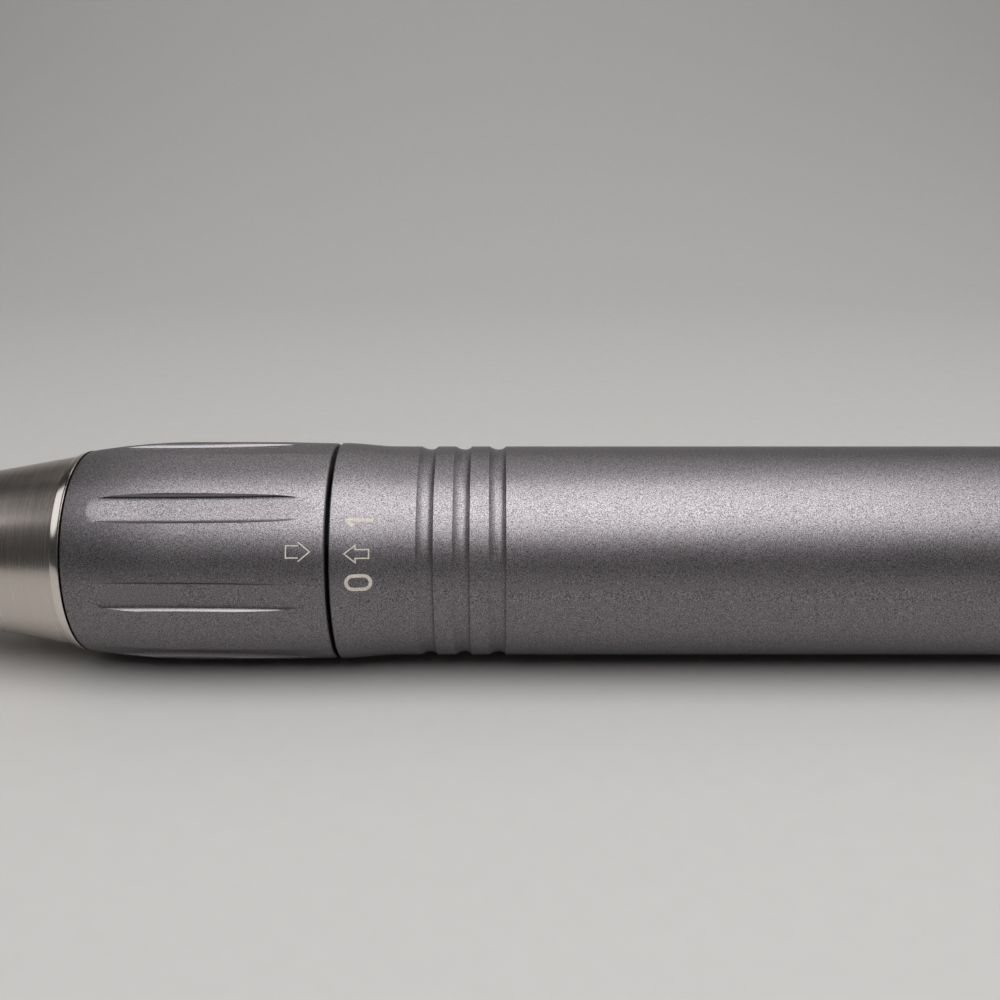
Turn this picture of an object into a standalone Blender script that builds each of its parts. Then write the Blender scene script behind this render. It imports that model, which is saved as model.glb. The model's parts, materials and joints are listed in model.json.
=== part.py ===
"""Dental lab micromotor handpiece.

A hollow spindle with a collet runs in a slim steel housing. A fluted twist
collar opens the collet through three cam pins, and a brushless motor in the
grip tube turns the spindle through a small jaw coupling.

The handpiece lies along X with its nose towards -X, resting on Z = 0.
All lengths are metres. "Front" is the smaller X, "rear" is the larger X.
Angles round the axis start at the top and grow towards -Y.
"""

import math

import bmesh
import bpy
from mathutils import Matrix

# Clearances and facets
SEAT_GAP = 0.00025
RUN_GAP = 0.0003
CUT_OVERRUN = 0.0006
EDGE_CHAMFER = 0.00015
MERGE_DISTANCE = 0.000001
SMOOTH_ANGLE = math.radians(28)
OUTER_SIDES = 32
INNER_SIDES = 20
RING_SIDES = 16
PIN_SIDES = 12

# The four outer shells, end to end
NOSE_LENGTH = 0.027
NOSE_SEAM = 0.00025
COLLAR_LENGTH = 0.03175
GRIP_SEAM = 0.00065
SLEEVE_LENGTH = 0.09035
CAP_SEAM = 0.0003
CAP_LENGTH = 0.0097
OVERALL_LENGTH = (
    NOSE_LENGTH + NOSE_SEAM + COLLAR_LENGTH + GRIP_SEAM + SLEEVE_LENGTH + CAP_SEAM + CAP_LENGTH
)
NOSE_FRONT_X = -OVERALL_LENGTH / 2
NOSE_REAR_X = NOSE_FRONT_X + NOSE_LENGTH
COLLAR_FRONT_X = NOSE_REAR_X + NOSE_SEAM
COLLAR_REAR_X = COLLAR_FRONT_X + COLLAR_LENGTH
SLEEVE_FRONT_X = COLLAR_REAR_X + GRIP_SEAM
SLEEVE_REAR_X = SLEEVE_FRONT_X + SLEEVE_LENGTH
CAP_FRONT_X = SLEEVE_REAR_X + CAP_SEAM
CAP_REAR_X = CAP_FRONT_X + CAP_LENGTH

# The radii build up from the collet's bore outwards, wall by wall

# Collet and drawbar
COLLET_RECESS = 0.0004
COLLET_BORE_RADIUS = 0.001175
COLLET_BORE_LENGTH = 0.0175
COLLET_LENGTH = 0.0211
COLLET_WALL = 0.000575
COLLET_RADIUS = COLLET_BORE_RADIUS + COLLET_WALL
COLLET_SPIGOT_STEP = 0.00065
COLLET_SPIGOT_RADIUS = COLLET_RADIUS - COLLET_SPIGOT_STEP
COLLET_SPIGOT_LENGTH = 0.0026
SLIT_COUNT = 3
SLIT_WIDTH = 0.0004
SLIT_LENGTH = 0.0115
DRAWBAR_TAIL = 0.0024
CROSS_PIN_RADIUS = 0.00065

# Spindle and what it carries
SPINDLE_RECESS = 0.0007
SPINDLE_BORE_RADIUS = COLLET_RADIUS + RUN_GAP
SPINDLE_WALL = 0.00095
SHAFT_RADIUS = SPINDLE_BORE_RADIUS + SPINDLE_WALL
SPINDLE_TAPER = 0.0008
SPINDLE_TAPER_RADIUS = SPINDLE_BORE_RADIUS + SPINDLE_TAPER
SPINDLE_FRONT_WALL = 0.00075
SPINDLE_FRONT_RADIUS = SPINDLE_TAPER_RADIUS + SPINDLE_FRONT_WALL
SPINDLE_TAPER_LAND = 0.0009
SPINDLE_TAPER_LENGTH = 0.0041
SPINDLE_BLIND_LENGTH = 0.0016
NUT_LENGTH = 0.0025
SEAL_LENGTH = 0.0016

# Bearings, all of one size
BEARING_BORE_RADIUS = SHAFT_RADIUS + SEAT_GAP
BEARING_SECTION = 0.00325
BEARING_RADIUS = BEARING_BORE_RADIUS + BEARING_SECTION
BEARING_WIDTH = 0.0035
RING_WALL_SHARE = 0.33
INNER_RING_SHOULDER = BEARING_BORE_RADIUS + BEARING_SECTION * RING_WALL_SHARE
OUTER_RING_SHOULDER = BEARING_RADIUS - BEARING_SECTION * RING_WALL_SHARE
BALL_SHARE = 0.23
BALL_RADIUS = BEARING_SECTION * BALL_SHARE
BALL_CIRCLE = (BEARING_BORE_RADIUS + BEARING_RADIUS) / 2
BALL_COUNT = 6
BALL_SEGMENTS = 6
BALL_RINGS = 4
CAGE_THICKNESS = 0.00046
CAGE_WIDTH = 0.0019
SEAT_RADIUS = BEARING_RADIUS + SEAT_GAP

# Spindle housing
HOUSING_FRONT_WALL = 0.00095
HOUSING_FRONT_RADIUS = SEAT_RADIUS + HOUSING_FRONT_WALL
HOUSING_FRONT_LENGTH = 0.006
HOUSING_BORE_STEP = 0.00095
HOUSING_BORE_RADIUS = SEAT_RADIUS + HOUSING_BORE_STEP
HOUSING_THREAD_WALL = 0.0015
HOUSING_THREAD_RADIUS = HOUSING_BORE_RADIUS + HOUSING_THREAD_WALL
HOUSING_WALL = 0.0027
HOUSING_RADIUS = HOUSING_BORE_RADIUS + HOUSING_WALL
HOUSING_LEDGE = 0.0007
HOUSING_LEDGE_RADIUS = BEARING_RADIUS - HOUSING_LEDGE
HOUSING_LEDGE_LENGTH = 0.002
SPIGOT_LENGTH = 0.01
NUT_ROOM = 0.0008
NUT_RADIUS = HOUSING_LEDGE_RADIUS - NUT_ROOM
O_RING_RADIUS = 0.0004
O_RING_STEPS = 6
NOSE_O_RING_SETBACK = 0.0025

# Lock collar: a swelling ring with eight milled flutes
COLLAR_ROOM = 0.0019
COLLAR_BORE_RADIUS = HOUSING_RADIUS + COLLAR_ROOM
COLLAR_WALL = 0.0006
COLLAR_FRONT_RADIUS = COLLAR_BORE_RADIUS + COLLAR_WALL
COLLAR_LIP = 0.00017
COLLAR_LIP_RADIUS = COLLAR_FRONT_RADIUS + COLLAR_LIP
COLLAR_SWELL = 0.001
COLLAR_RADIUS = COLLAR_LIP_RADIUS + COLLAR_SWELL
COLLAR_FALL = 0.0001
COLLAR_REAR_RADIUS = COLLAR_RADIUS - COLLAR_FALL
COLLAR_LIP_LENGTH = 0.00105
COLLAR_SWELL_LENGTH = 0.0129
COLLAR_SWELL_STEPS = 4
COLLAR_FALL_LENGTH = 0.005
COLLAR_LAND_LENGTH = 0.0024
FLUTE_COUNT = 8
FLUTE_WIDTH = 0.00292
FLUTE_FRONT = 0.00335
FLUTE_TAIL = 0.0022
FLUTE_LENGTH = COLLAR_LENGTH - FLUTE_FRONT - FLUTE_TAIL
FLUTE_DEPTH = 0.00077
FLUTE_FADE = 0.00003
FLUTE_FRONT_DEPTH_RADIUS = COLLAR_RADIUS - FLUTE_DEPTH
FLUTE_REAR_DEPTH_RADIUS = COLLAR_RADIUS - FLUTE_FADE
FLUTE_END_STEPS = 4
INDEX_ANGLE = math.radians(67.5)
BUSH_LENGTH = 0.0032

# Nose cone: a flat face, a bowed tip, a straight cone and a polished ring
NOSE_OPENING_RADIUS = SPINDLE_FRONT_RADIUS + RUN_GAP
NOSE_FACE_WIDTH = 0.002
NOSE_FACE_RADIUS = NOSE_OPENING_RADIUS + NOSE_FACE_WIDTH
NOSE_FACE_EDGE = 0.0005
NOSE_TIP_RADIUS = NOSE_FACE_RADIUS + NOSE_FACE_EDGE
NOSE_FACE_CHAMFER = 0.0006
NOSE_WALL = 0.0012
NOSE_BEND_RADIUS = HOUSING_THREAD_RADIUS + NOSE_WALL
NOSE_CONE_LENGTH = 0.011
NOSE_RING_LENGTH = 0.0009
NOSE_RING_TAPER = 0.0003
NOSE_RING_STEP = 0.00025
NOSE_RING_FRONT_RADIUS = COLLAR_FRONT_RADIUS - NOSE_RING_TAPER
NOSE_CONE_RADIUS = NOSE_RING_FRONT_RADIUS - NOSE_RING_STEP
NOSE_RING_LAND = 0.00015
NOSE_BOW_STEPS = 5
NOSE_LIP = 0.0025
NOSE_SKIRT_LENGTH = 0.00255
SEAL_POCKET_LENGTH = 0.0057
SEAL_HEIGHT = 0.0016
SEAL_POCKET_RADIUS = NOSE_OPENING_RADIUS + SEAL_HEIGHT
NOSE_LIP_X = NOSE_FRONT_X + NOSE_LIP
NOSE_SHOULDER_X = NOSE_LIP_X + SEAL_POCKET_LENGTH

# Collet release
RELEASE_TRAVEL = 0.0011
LOCK_TWIST = math.radians(60)
SPRING_WIRE_RADIUS = 0.00045
SPRING_ROOM = 0.0013
SPRING_COIL_RADIUS = SHAFT_RADIUS + SPRING_ROOM
SPRING_TURNS = 6
SPRING_POINTS_PER_TURN = 10
PUSH_RING_WALL = 0.0026
PUSH_RING_RADIUS = SHAFT_RADIUS + PUSH_RING_WALL
PUSH_RING_LENGTH = 0.003
CROSS_PIN_INSET = 0.0007
CROSS_PIN_REACH = PUSH_RING_RADIUS - CROSS_PIN_INSET
RELEASE_RING_RADIUS = HOUSING_BORE_RADIUS - RUN_GAP
RELEASE_RING_ROOM = 0.0012
RELEASE_RING_BORE_RADIUS = SHAFT_RADIUS + RELEASE_RING_ROOM
RELEASE_RING_LENGTH = 0.003
KEY_COUNT = 2
KEY_PLACE = 0.00975
KEY_WIDTH = 0.003
KEY_LENGTH = 0.0022
KEY_SEAT = 0.0014
KEY_INNER_RADIUS = RELEASE_RING_RADIUS - KEY_SEAT
KEY_INSET = 0.0006
KEY_OUTER_RADIUS = COLLAR_BORE_RADIUS - KEY_INSET
RELEASE_SLEEVE_LENGTH = 0.0175
RELEASE_SLEEVE_FRONT = 0.0052
CAM_PIN_COUNT = 3
CAM_PIN_RADIUS = 0.001
CAM_PIN_PLACE = 0.01875
CAM_PIN_ROOM = 0.0006
CAM_PIN_SEAT = 0.0007
CAM_PIN_INNER_RADIUS = HOUSING_RADIUS + CAM_PIN_ROOM
CAM_PIN_OUTER_RADIUS = COLLAR_BORE_RADIUS + CAM_PIN_SEAT
CAM_SLOT_STEPS = 8

# Body sleeve: a flared front and three finger grooves
GRIP_STEP = 0.00002
SLEEVE_FLARE_RADIUS = COLLAR_REAR_RADIUS - GRIP_STEP
SLEEVE_FLARE = 0.00045
SLEEVE_RADIUS = SLEEVE_FLARE_RADIUS - SLEEVE_FLARE
SLEEVE_WALL = 0.0016
SLEEVE_BORE_RADIUS = SLEEVE_RADIUS - SLEEVE_WALL
SLEEVE_FLARE_LENGTH = 0.00735
SLEEVE_FLARE_STEPS = 3
GROOVE_COUNT = 3
GROOVE_FIRST = 0.01138
GROOVE_PITCH = 0.00437
GROOVE_WIDTH = 0.0022
GROOVE_DEPTH = 0.0004
GROOVE_STEPS = 3

# Rear cap and the socket in it
CAP_SHOULDER_LENGTH = 0.0016
CAP_TAPER = 0.0021
CAP_END_RADIUS = SLEEVE_RADIUS - CAP_TAPER
CAP_EDGE = 0.0005
CAP_FACE_RADIUS = CAP_END_RADIUS - CAP_EDGE
CAP_TAPER_STEPS = 4
CAP_SPIGOT_LENGTH = 0.0085
SOCKET_RADIUS = 0.0065
INSERT_LIP = 0.0009
INSERT_FLANGE_RADIUS = SOCKET_RADIUS + INSERT_LIP
INSERT_FLANGE_LENGTH = 0.002
INSERT_LENGTH = 0.0085
CONTACT_COUNT = 3
CONTACT_RADIUS = 0.0006
CONTACT_INSET = 0.0023
CONTACT_CIRCLE = SOCKET_RADIUS - CONTACT_INSET
CONTACT_TAIL = 0.0012
CONTACT_REACH = 0.006

# Rear bearing carrier and coupling
CARRIER_SPACE = 0.0025
CARRIER_LIP = 0.0014
CARRIER_LIP_HEIGHT = 0.0013
CARRIER_LIP_RADIUS = BEARING_RADIUS - CARRIER_LIP_HEIGHT
CARRIER_TAIL = 0.0005
WASHER_SPACE = 0.001
WASHER_THICKNESS = 0.0003
WASHER_WAVE = 0.0001
WASHER_WAVES = 3
HUB_WALL = 0.00195
HUB_RADIUS = BEARING_BORE_RADIUS + HUB_WALL
HUB_LENGTH = 0.005
JAW_LENGTH = 0.0037
JAW_WIDTH = 0.0026
JAW_INNER_RADIUS = BEARING_BORE_RADIUS + SEAT_GAP
JAW_INSET = 0.0002
JAW_OUTER_RADIUS = HUB_RADIUS - JAW_INSET
SPIDER_ROOM = 0.0004
SPIDER_RADIUS = JAW_INNER_RADIUS - SPIDER_ROOM
SPIDER_ARM_WIDTH = 0.002

# Motor
CASE_RADIUS = SLEEVE_BORE_RADIUS - RUN_GAP
CASE_WALL = 0.0008
CASE_BORE_RADIUS = CASE_RADIUS - CASE_WALL
CASE_TAIL = 0.0035
BRACKET_BOSS_WALL = 0.00125
BRACKET_BOSS_RADIUS = SEAT_RADIUS + BRACKET_BOSS_WALL
BRACKET_FLANGE_LENGTH = 0.003
BRACKET_LIP = 0.0015
BRACKET_LIP_HEIGHT = 0.0023
BRACKET_LIP_RADIUS = BEARING_RADIUS - BRACKET_LIP_HEIGHT
STATOR_SPACE = 0.0055
STATOR_WALL = 0.00225
STATOR_RADIUS = CASE_BORE_RADIUS - SEAT_GAP
STATOR_BORE_RADIUS = STATOR_RADIUS - STATOR_WALL
WINDING_OVERHANG = 0.003
WINDING_WALL = 0.00175
WINDING_RADIUS = STATOR_BORE_RADIUS - SEAT_GAP
WINDING_BORE_RADIUS = WINDING_RADIUS - WINDING_WALL
MAGNET_SETBACK = 0.0005
AIR_GAP = 0.0005
MAGNET_RADIUS = WINDING_BORE_RADIUS - AIR_GAP
BALANCE_RING_LENGTH = 0.0028
BALANCE_RING_STEP = 0.0004
BALANCE_RING_RADIUS = MAGNET_RADIUS - BALANCE_RING_STEP
REAR_BRACKET_SPACE = 0.001
BOARD_SPACE = 0.003
BOARD_THICKNESS = 0.0012
BOARD_HOLE_ROOM = 0.0006
BOARD_HOLE_RADIUS = SHAFT_RADIUS + BOARD_HOLE_ROOM
SHAFT_TAIL = 0.0015
LEAD_SPACE = 0.01965
LEAD_RADIUS = 0.0006
LEAD_SPREAD = 0.0033
LEAD_CIRCLE = CONTACT_CIRCLE + LEAD_SPREAD
LEAD_POINTS = 9

# Places along the axis, from the nose to the coupling
HOUSING_FRONT_X = NOSE_SHOULDER_X + SEAT_GAP
HOUSING_STEP_X = HOUSING_FRONT_X + HOUSING_FRONT_LENGTH
HOUSING_NECK_X = NOSE_REAR_X - NOSE_SKIRT_LENGTH
HOUSING_FLANGE_X = SLEEVE_FRONT_X + SEAT_GAP
HOUSING_REAR_X = HOUSING_FLANGE_X + SPIGOT_LENGTH
FRONT_BEARING_X = HOUSING_FRONT_X + SEAT_GAP
SECOND_BEARING_X = FRONT_BEARING_X + BEARING_WIDTH + SEAT_GAP
NUT_X = SECOND_BEARING_X + BEARING_WIDTH + SEAT_GAP
KEY_X = COLLAR_FRONT_X + KEY_PLACE
RELEASE_RING_X = KEY_X - RELEASE_RING_LENGTH / 2
PUSH_RING_X = RELEASE_RING_X - RUN_GAP - PUSH_RING_LENGTH
CROSS_PIN_X = PUSH_RING_X + PUSH_RING_LENGTH / 2
CARRIER_X = RELEASE_RING_X + RELEASE_RING_LENGTH + CARRIER_SPACE
REAR_BEARING_X = CARRIER_X + CARRIER_LIP + WASHER_SPACE
SPINDLE_COUPLING_X = REAR_BEARING_X + BEARING_WIDTH + SEAT_GAP
SPINDLE_COUPLING_FACE_X = SPINDLE_COUPLING_X + HUB_LENGTH
MOTOR_COUPLING_X = SPINDLE_COUPLING_FACE_X + JAW_LENGTH + SEAT_GAP

# Places in the motor: the stator fills what its bearings, board and leads leave of the sleeve
CASE_FRONT_X = HOUSING_REAR_X + SEAT_GAP
FRONT_BRACKET_X = CASE_FRONT_X + SEAT_GAP
MOTOR_FRONT_BEARING_X = FRONT_BRACKET_X + BRACKET_LIP + SEAT_GAP
FRONT_BRACKET_REAR_X = MOTOR_FRONT_BEARING_X + BEARING_WIDTH + SEAT_GAP
STATOR_X = FRONT_BRACKET_REAR_X + STATOR_SPACE
INSERT_X = CAP_FRONT_X - CAP_SPIGOT_LENGTH + SEAT_GAP
BOARD_X = INSERT_X - LEAD_SPACE
CASE_REAR_X = BOARD_X + BOARD_THICKNESS + CASE_TAIL
REAR_BRACKET_X = BOARD_X - BOARD_SPACE
MOTOR_REAR_BEARING_X = REAR_BRACKET_X - BRACKET_LIP - SEAT_GAP - BEARING_WIDTH
REAR_BRACKET_FRONT_X = MOTOR_REAR_BEARING_X - SEAT_GAP
WINDING_REAR_X = REAR_BRACKET_FRONT_X - REAR_BRACKET_SPACE
STATOR_REAR_X = WINDING_REAR_X - WINDING_OVERHANG

TOP_LEVEL_NAME = "dental_lab_micromotor"


# Scene, finishes and settling

for old in list(bpy.data.objects):
    bpy.data.objects.remove(old, do_unlink=True)

part_collection = bpy.data.collections.new(TOP_LEVEL_NAME)
cutter_collection = bpy.data.collections.new("cutters")
bpy.context.scene.collection.children.link(part_collection)
bpy.context.scene.collection.children.link(cutter_collection)

axis = bpy.data.objects.new("handpiece_axis", None)
part_collection.objects.link(axis)

# Colour, roughness and metallic value of each finish
FINISHES = {
    "brushed steel": ((0.36, 0.33, 0.31), 0.28, 1.0),
    "charcoal anodising": ((0.085, 0.083, 0.082), 0.42, 0.9),
    "ground steel": ((0.42, 0.42, 0.43), 0.22, 1.0),
    "spring steel": ((0.24, 0.24, 0.26), 0.3, 1.0),
    "bronze": ((0.42, 0.25, 0.11), 0.34, 1.0),
    "brass": ((0.56, 0.4, 0.13), 0.26, 1.0),
    "gold plate": ((0.72, 0.5, 0.16), 0.2, 1.0),
    "turned aluminium": ((0.55, 0.56, 0.58), 0.36, 1.0),
    "core steel": ((0.12, 0.12, 0.14), 0.45, 1.0),
    "enamelled copper": ((0.38, 0.13, 0.05), 0.35, 0.8),
    "magnet nickel": ((0.33, 0.33, 0.32), 0.25, 1.0),
    "black nitrile": ((0.012, 0.012, 0.013), 0.7, 0.0),
    "black plastic": ((0.02, 0.02, 0.022), 0.45, 0.0),
    "orange polyurethane": ((0.6, 0.16, 0.03), 0.4, 0.0),
    "board green": ((0.02, 0.14, 0.06), 0.5, 0.0),
    "lead sleeving": ((0.45, 0.03, 0.02), 0.5, 0.0),
    "white cage nylon": ((0.7, 0.68, 0.6), 0.5, 0.0),
}


def give_finish(part, finish):
    """Give the part its own Principled material."""
    colour, roughness, metallic = FINISHES[finish]
    material = bpy.data.materials.new(part.name + "_finish")
    material.use_nodes = True
    shader = material.node_tree.nodes["Principled BSDF"]
    shader.inputs["Base Color"].default_value = (*colour, 1)
    shader.inputs["Roughness"].default_value = roughness
    shader.inputs["Metallic"].default_value = metallic
    part.data.materials.append(material)


def place(name, data, finish):
    """Hang a new object on the handpiece axis, as a part or, without a finish, as a cutter."""
    item = bpy.data.objects.new(name, data)
    item.parent = axis
    if finish:
        part_collection.objects.link(item)
        give_finish(item, finish)
    else:
        cutter_collection.objects.link(item)
        item.hide_render = True
        item.display_type = "WIRE"
    return item


def settle(part):
    """Replace the part's mesh by the one its modifiers make, and shade it."""
    depsgraph = bpy.context.evaluated_depsgraph_get()
    mesh = bpy.data.meshes.new_from_object(part.evaluated_get(depsgraph))
    mesh.name = part.name
    part.modifiers.clear()
    part.data = mesh
    mesh.shade_smooth()
    mesh.set_sharp_from_angle(angle=SMOOTH_ANGLE)


# Shapes

def turned(name, outer, bore, finish, sides=INNER_SIDES):
    """A body turned about the axis. Both outlines are (x, radius) points, front to rear.

    With no bore the outer outline starts and ends on the axis.
    """
    half_step = math.pi / sides
    outline = list(reversed(outer)) + list(bore)
    corners = [(x, -r * math.sin(half_step), r * math.cos(half_step)) for x, r in outline]
    edges = [(i, i + 1) for i in range(len(corners) - 1)]
    if bore:
        edges.append((len(corners) - 1, 0))
    profile = bpy.data.meshes.new(name)
    profile.from_pydata(corners, edges, [])
    part = place(name, profile, finish)
    screw = part.modifiers.new("turn", "SCREW")
    screw.axis = "X"
    screw.angle = math.tau
    screw.steps = sides
    screw.render_steps = sides
    screw.use_merge_vertices = True
    screw.merge_threshold = MERGE_DISTANCE
    settle(part)
    return part


def ring(name, front, rear, bore_radius, radius, finish, sides=INNER_SIDES):
    """A plain ring with square edges."""
    outer = [(front, radius), (rear, radius)]
    bore = [(front, bore_radius), (rear, bore_radius)]
    return turned(name, outer, bore, finish, sides)


def around(angle):
    """The turn that carries the top of the handpiece to this angle."""
    return Matrix.Rotation(angle, 4, "X")


def shape(name, form, finish=None):
    """An object from a filled bmesh."""
    mesh = bpy.data.meshes.new(name)
    form.to_mesh(mesh)
    form.free()
    return place(name, mesh, finish)


def radial_pin(name, x, angle, low, high, radius, finish=None):
    """A round pin that points away from the axis, from one radius to another."""
    form = bmesh.new()
    seat = around(angle) @ Matrix.Translation((x, 0, (low + high) / 2))
    bmesh.ops.create_cone(
        form, cap_ends=True, segments=PIN_SIDES, radius1=radius, radius2=radius,
        depth=high - low, matrix=seat,
    )
    return shape(name, form, finish)


def axial_pin(name, front, rear, circle, angle, radius, finish=None):
    """A round pin along X, its centre on a circle round the axis."""
    form = bmesh.new()
    seat = around(angle) @ Matrix.Translation(((front + rear) / 2, 0, circle))
    seat = seat @ Matrix.Rotation(math.pi / 2, 4, "Y")
    bmesh.ops.create_cone(
        form, cap_ends=True, segments=PIN_SIDES, radius1=radius, radius2=radius,
        depth=rear - front, matrix=seat,
    )
    return shape(name, form, finish)


def block(name, front, rear, width, low, high, angle, finish=None):
    """A square block that points away from the axis."""
    form = bmesh.new()
    seat = around(angle) @ Matrix.Translation(((front + rear) / 2, 0, (low + high) / 2))
    size = Matrix.Diagonal((rear - front, width, high - low, 1))
    bmesh.ops.create_cube(form, size=1, matrix=seat @ size)
    return shape(name, form, finish)


def combine(part, others, operation):
    """Cut the part with the others, or join them to it."""
    for other in others:
        change = part.modifiers.new(other.name, "BOOLEAN")
        change.operation = operation
        change.solver = "EXACT"
        change.object = other
    settle(part)


def spread(count, start=0):
    """Equal angles round the axis."""
    return [start + math.tau * i / count for i in range(count)]


def chamfered(front, rear, radius, chamfer=EDGE_CHAMFER):
    """The outer side of a cylinder with both edges broken."""
    return [
        (front, radius - chamfer),
        (front + chamfer, radius),
        (rear - chamfer, radius),
        (rear, radius - chamfer),
    ]


# Nose cone, its seal and its O-ring

def nose_outline():
    """The cone's slope carries on into a bow that closes down to the tip."""
    cone_rear = NOSE_REAR_X - NOSE_RING_LENGTH
    bend = cone_rear - NOSE_CONE_LENGTH
    tip = NOSE_FRONT_X + NOSE_FACE_CHAMFER
    slope = (NOSE_CONE_RADIUS - NOSE_BEND_RADIUS) / NOSE_CONE_LENGTH
    reach = bend - tip
    bow = (NOSE_BEND_RADIUS - NOSE_TIP_RADIUS - slope * reach) / reach**2
    points = [(NOSE_FRONT_X, NOSE_FACE_RADIUS)]
    for step in range(NOSE_BOW_STEPS + 1):
        back = reach * (1 - step / NOSE_BOW_STEPS)
        points.append((bend - back, NOSE_BEND_RADIUS - slope * back - bow * back**2))
    points.append((cone_rear, NOSE_CONE_RADIUS))
    points.append((cone_rear, NOSE_RING_FRONT_RADIUS))
    points.append((NOSE_REAR_X - NOSE_RING_LAND, COLLAR_FRONT_RADIUS))
    points.append((NOSE_REAR_X, COLLAR_FRONT_RADIUS))
    return points


def make_nose():
    """The cone screws over the housing and holds the first bearing's outer ring."""
    front_bore = HOUSING_FRONT_RADIUS + SEAT_GAP
    thread_bore = HOUSING_THREAD_RADIUS + SEAT_GAP
    skirt_bore = HOUSING_RADIUS + SEAT_GAP
    thread_x = HOUSING_STEP_X - SEAT_GAP
    skirt_x = HOUSING_NECK_X - SEAT_GAP
    bore = [
        (NOSE_FRONT_X, NOSE_OPENING_RADIUS),
        (NOSE_LIP_X, NOSE_OPENING_RADIUS),
        (NOSE_LIP_X, SEAL_POCKET_RADIUS),
        (NOSE_SHOULDER_X, SEAL_POCKET_RADIUS),
        (NOSE_SHOULDER_X, front_bore),
        (thread_x, front_bore),
        (thread_x, thread_bore),
        (skirt_x, thread_bore),
        (skirt_x, skirt_bore),
        (NOSE_REAR_X, skirt_bore),
    ]
    turned("nose_cone", nose_outline(), bore, "brushed steel", OUTER_SIDES)
    seal_front = NOSE_LIP_X + SEAT_GAP
    ring(
        "dust_seal", seal_front, seal_front + SEAL_LENGTH,
        NOSE_OPENING_RADIUS, SEAL_POCKET_RADIUS - SEAT_GAP, "black nitrile",
    )


def o_ring(name, x, circle):
    """A rubber ring of round section, whose centre line lies on a circle."""
    section = []
    for angle in spread(O_RING_STEPS):
        along = x + O_RING_RADIUS * math.cos(angle)
        section.append((along, circle + O_RING_RADIUS * math.sin(angle)))
    half = O_RING_STEPS // 2 + 1
    outer = list(reversed(section[:half]))
    inner = section[half:]
    turned(name, outer, inner, "black nitrile")


def groove(x, radius):
    """A square O-ring groove in a turned outline, front to rear."""
    front = x - O_RING_RADIUS - SEAT_GAP
    rear = x + O_RING_RADIUS + SEAT_GAP
    floor = radius - O_RING_RADIUS * 2 - SEAT_GAP
    return [(front, radius), (front, floor), (rear, floor), (rear, radius)]


# Spindle housing, which carries everything else

def make_housing():
    """Bearing seat, ledge and sliding bore inside; nose seat, neck and flange outside."""
    o_ring_x = HOUSING_NECK_X - NOSE_O_RING_SETBACK
    flange_radius = SLEEVE_BORE_RADIUS - SEAT_GAP
    outer = [
        (HOUSING_FRONT_X, HOUSING_FRONT_RADIUS),
        (HOUSING_STEP_X, HOUSING_FRONT_RADIUS),
        (HOUSING_STEP_X, HOUSING_THREAD_RADIUS),
        *groove(o_ring_x, HOUSING_THREAD_RADIUS),
        (HOUSING_NECK_X, HOUSING_THREAD_RADIUS),
        (HOUSING_NECK_X, HOUSING_RADIUS),
        (HOUSING_FLANGE_X, HOUSING_RADIUS),
        (HOUSING_FLANGE_X, flange_radius),
        (HOUSING_REAR_X, flange_radius),
    ]
    ledge_rear = NUT_X + HOUSING_LEDGE_LENGTH
    bore = [
        (HOUSING_FRONT_X, SEAT_RADIUS),
        (NUT_X, SEAT_RADIUS),
        (NUT_X, HOUSING_LEDGE_RADIUS),
        (ledge_rear, HOUSING_LEDGE_RADIUS),
        (ledge_rear, HOUSING_BORE_RADIUS),
        (HOUSING_REAR_X, HOUSING_BORE_RADIUS),
    ]
    housing = turned("spindle_housing", outer, bore, "ground steel")
    key_half = KEY_LENGTH / 2 + RUN_GAP
    windows = [
        block(
            f"key_window_{number}", KEY_X - RELEASE_TRAVEL - key_half, KEY_X + key_half,
            KEY_WIDTH + RUN_GAP * 2, KEY_INNER_RADIUS, HOUSING_RADIUS + CUT_OVERRUN, angle,
        )
        for number, angle in enumerate(key_angles(), 1)
    ]
    combine(housing, windows, "DIFFERENCE")
    o_ring("nose_o_ring", o_ring_x, HOUSING_THREAD_RADIUS - O_RING_RADIUS)


# Bearings

def raceway(x, shoulder, direction):
    """A groove for the balls in a ring's side; direction is 1 for the outer ring, -1 for the inner."""
    track = BALL_RADIUS + SEAT_GAP
    offset = (shoulder - BALL_CIRCLE) * direction
    half_width = math.sqrt(track**2 - offset**2)
    lean = math.atan2(offset, half_width)
    flat_angle = (math.pi / 2 + lean) / 2
    flat_half = track * math.cos(flat_angle)
    floor = BALL_CIRCLE + direction * track * math.sin(flat_angle)
    return [
        (x - half_width, shoulder), (x - flat_half, floor),
        (x + flat_half, floor), (x + half_width, shoulder),
    ]


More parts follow.
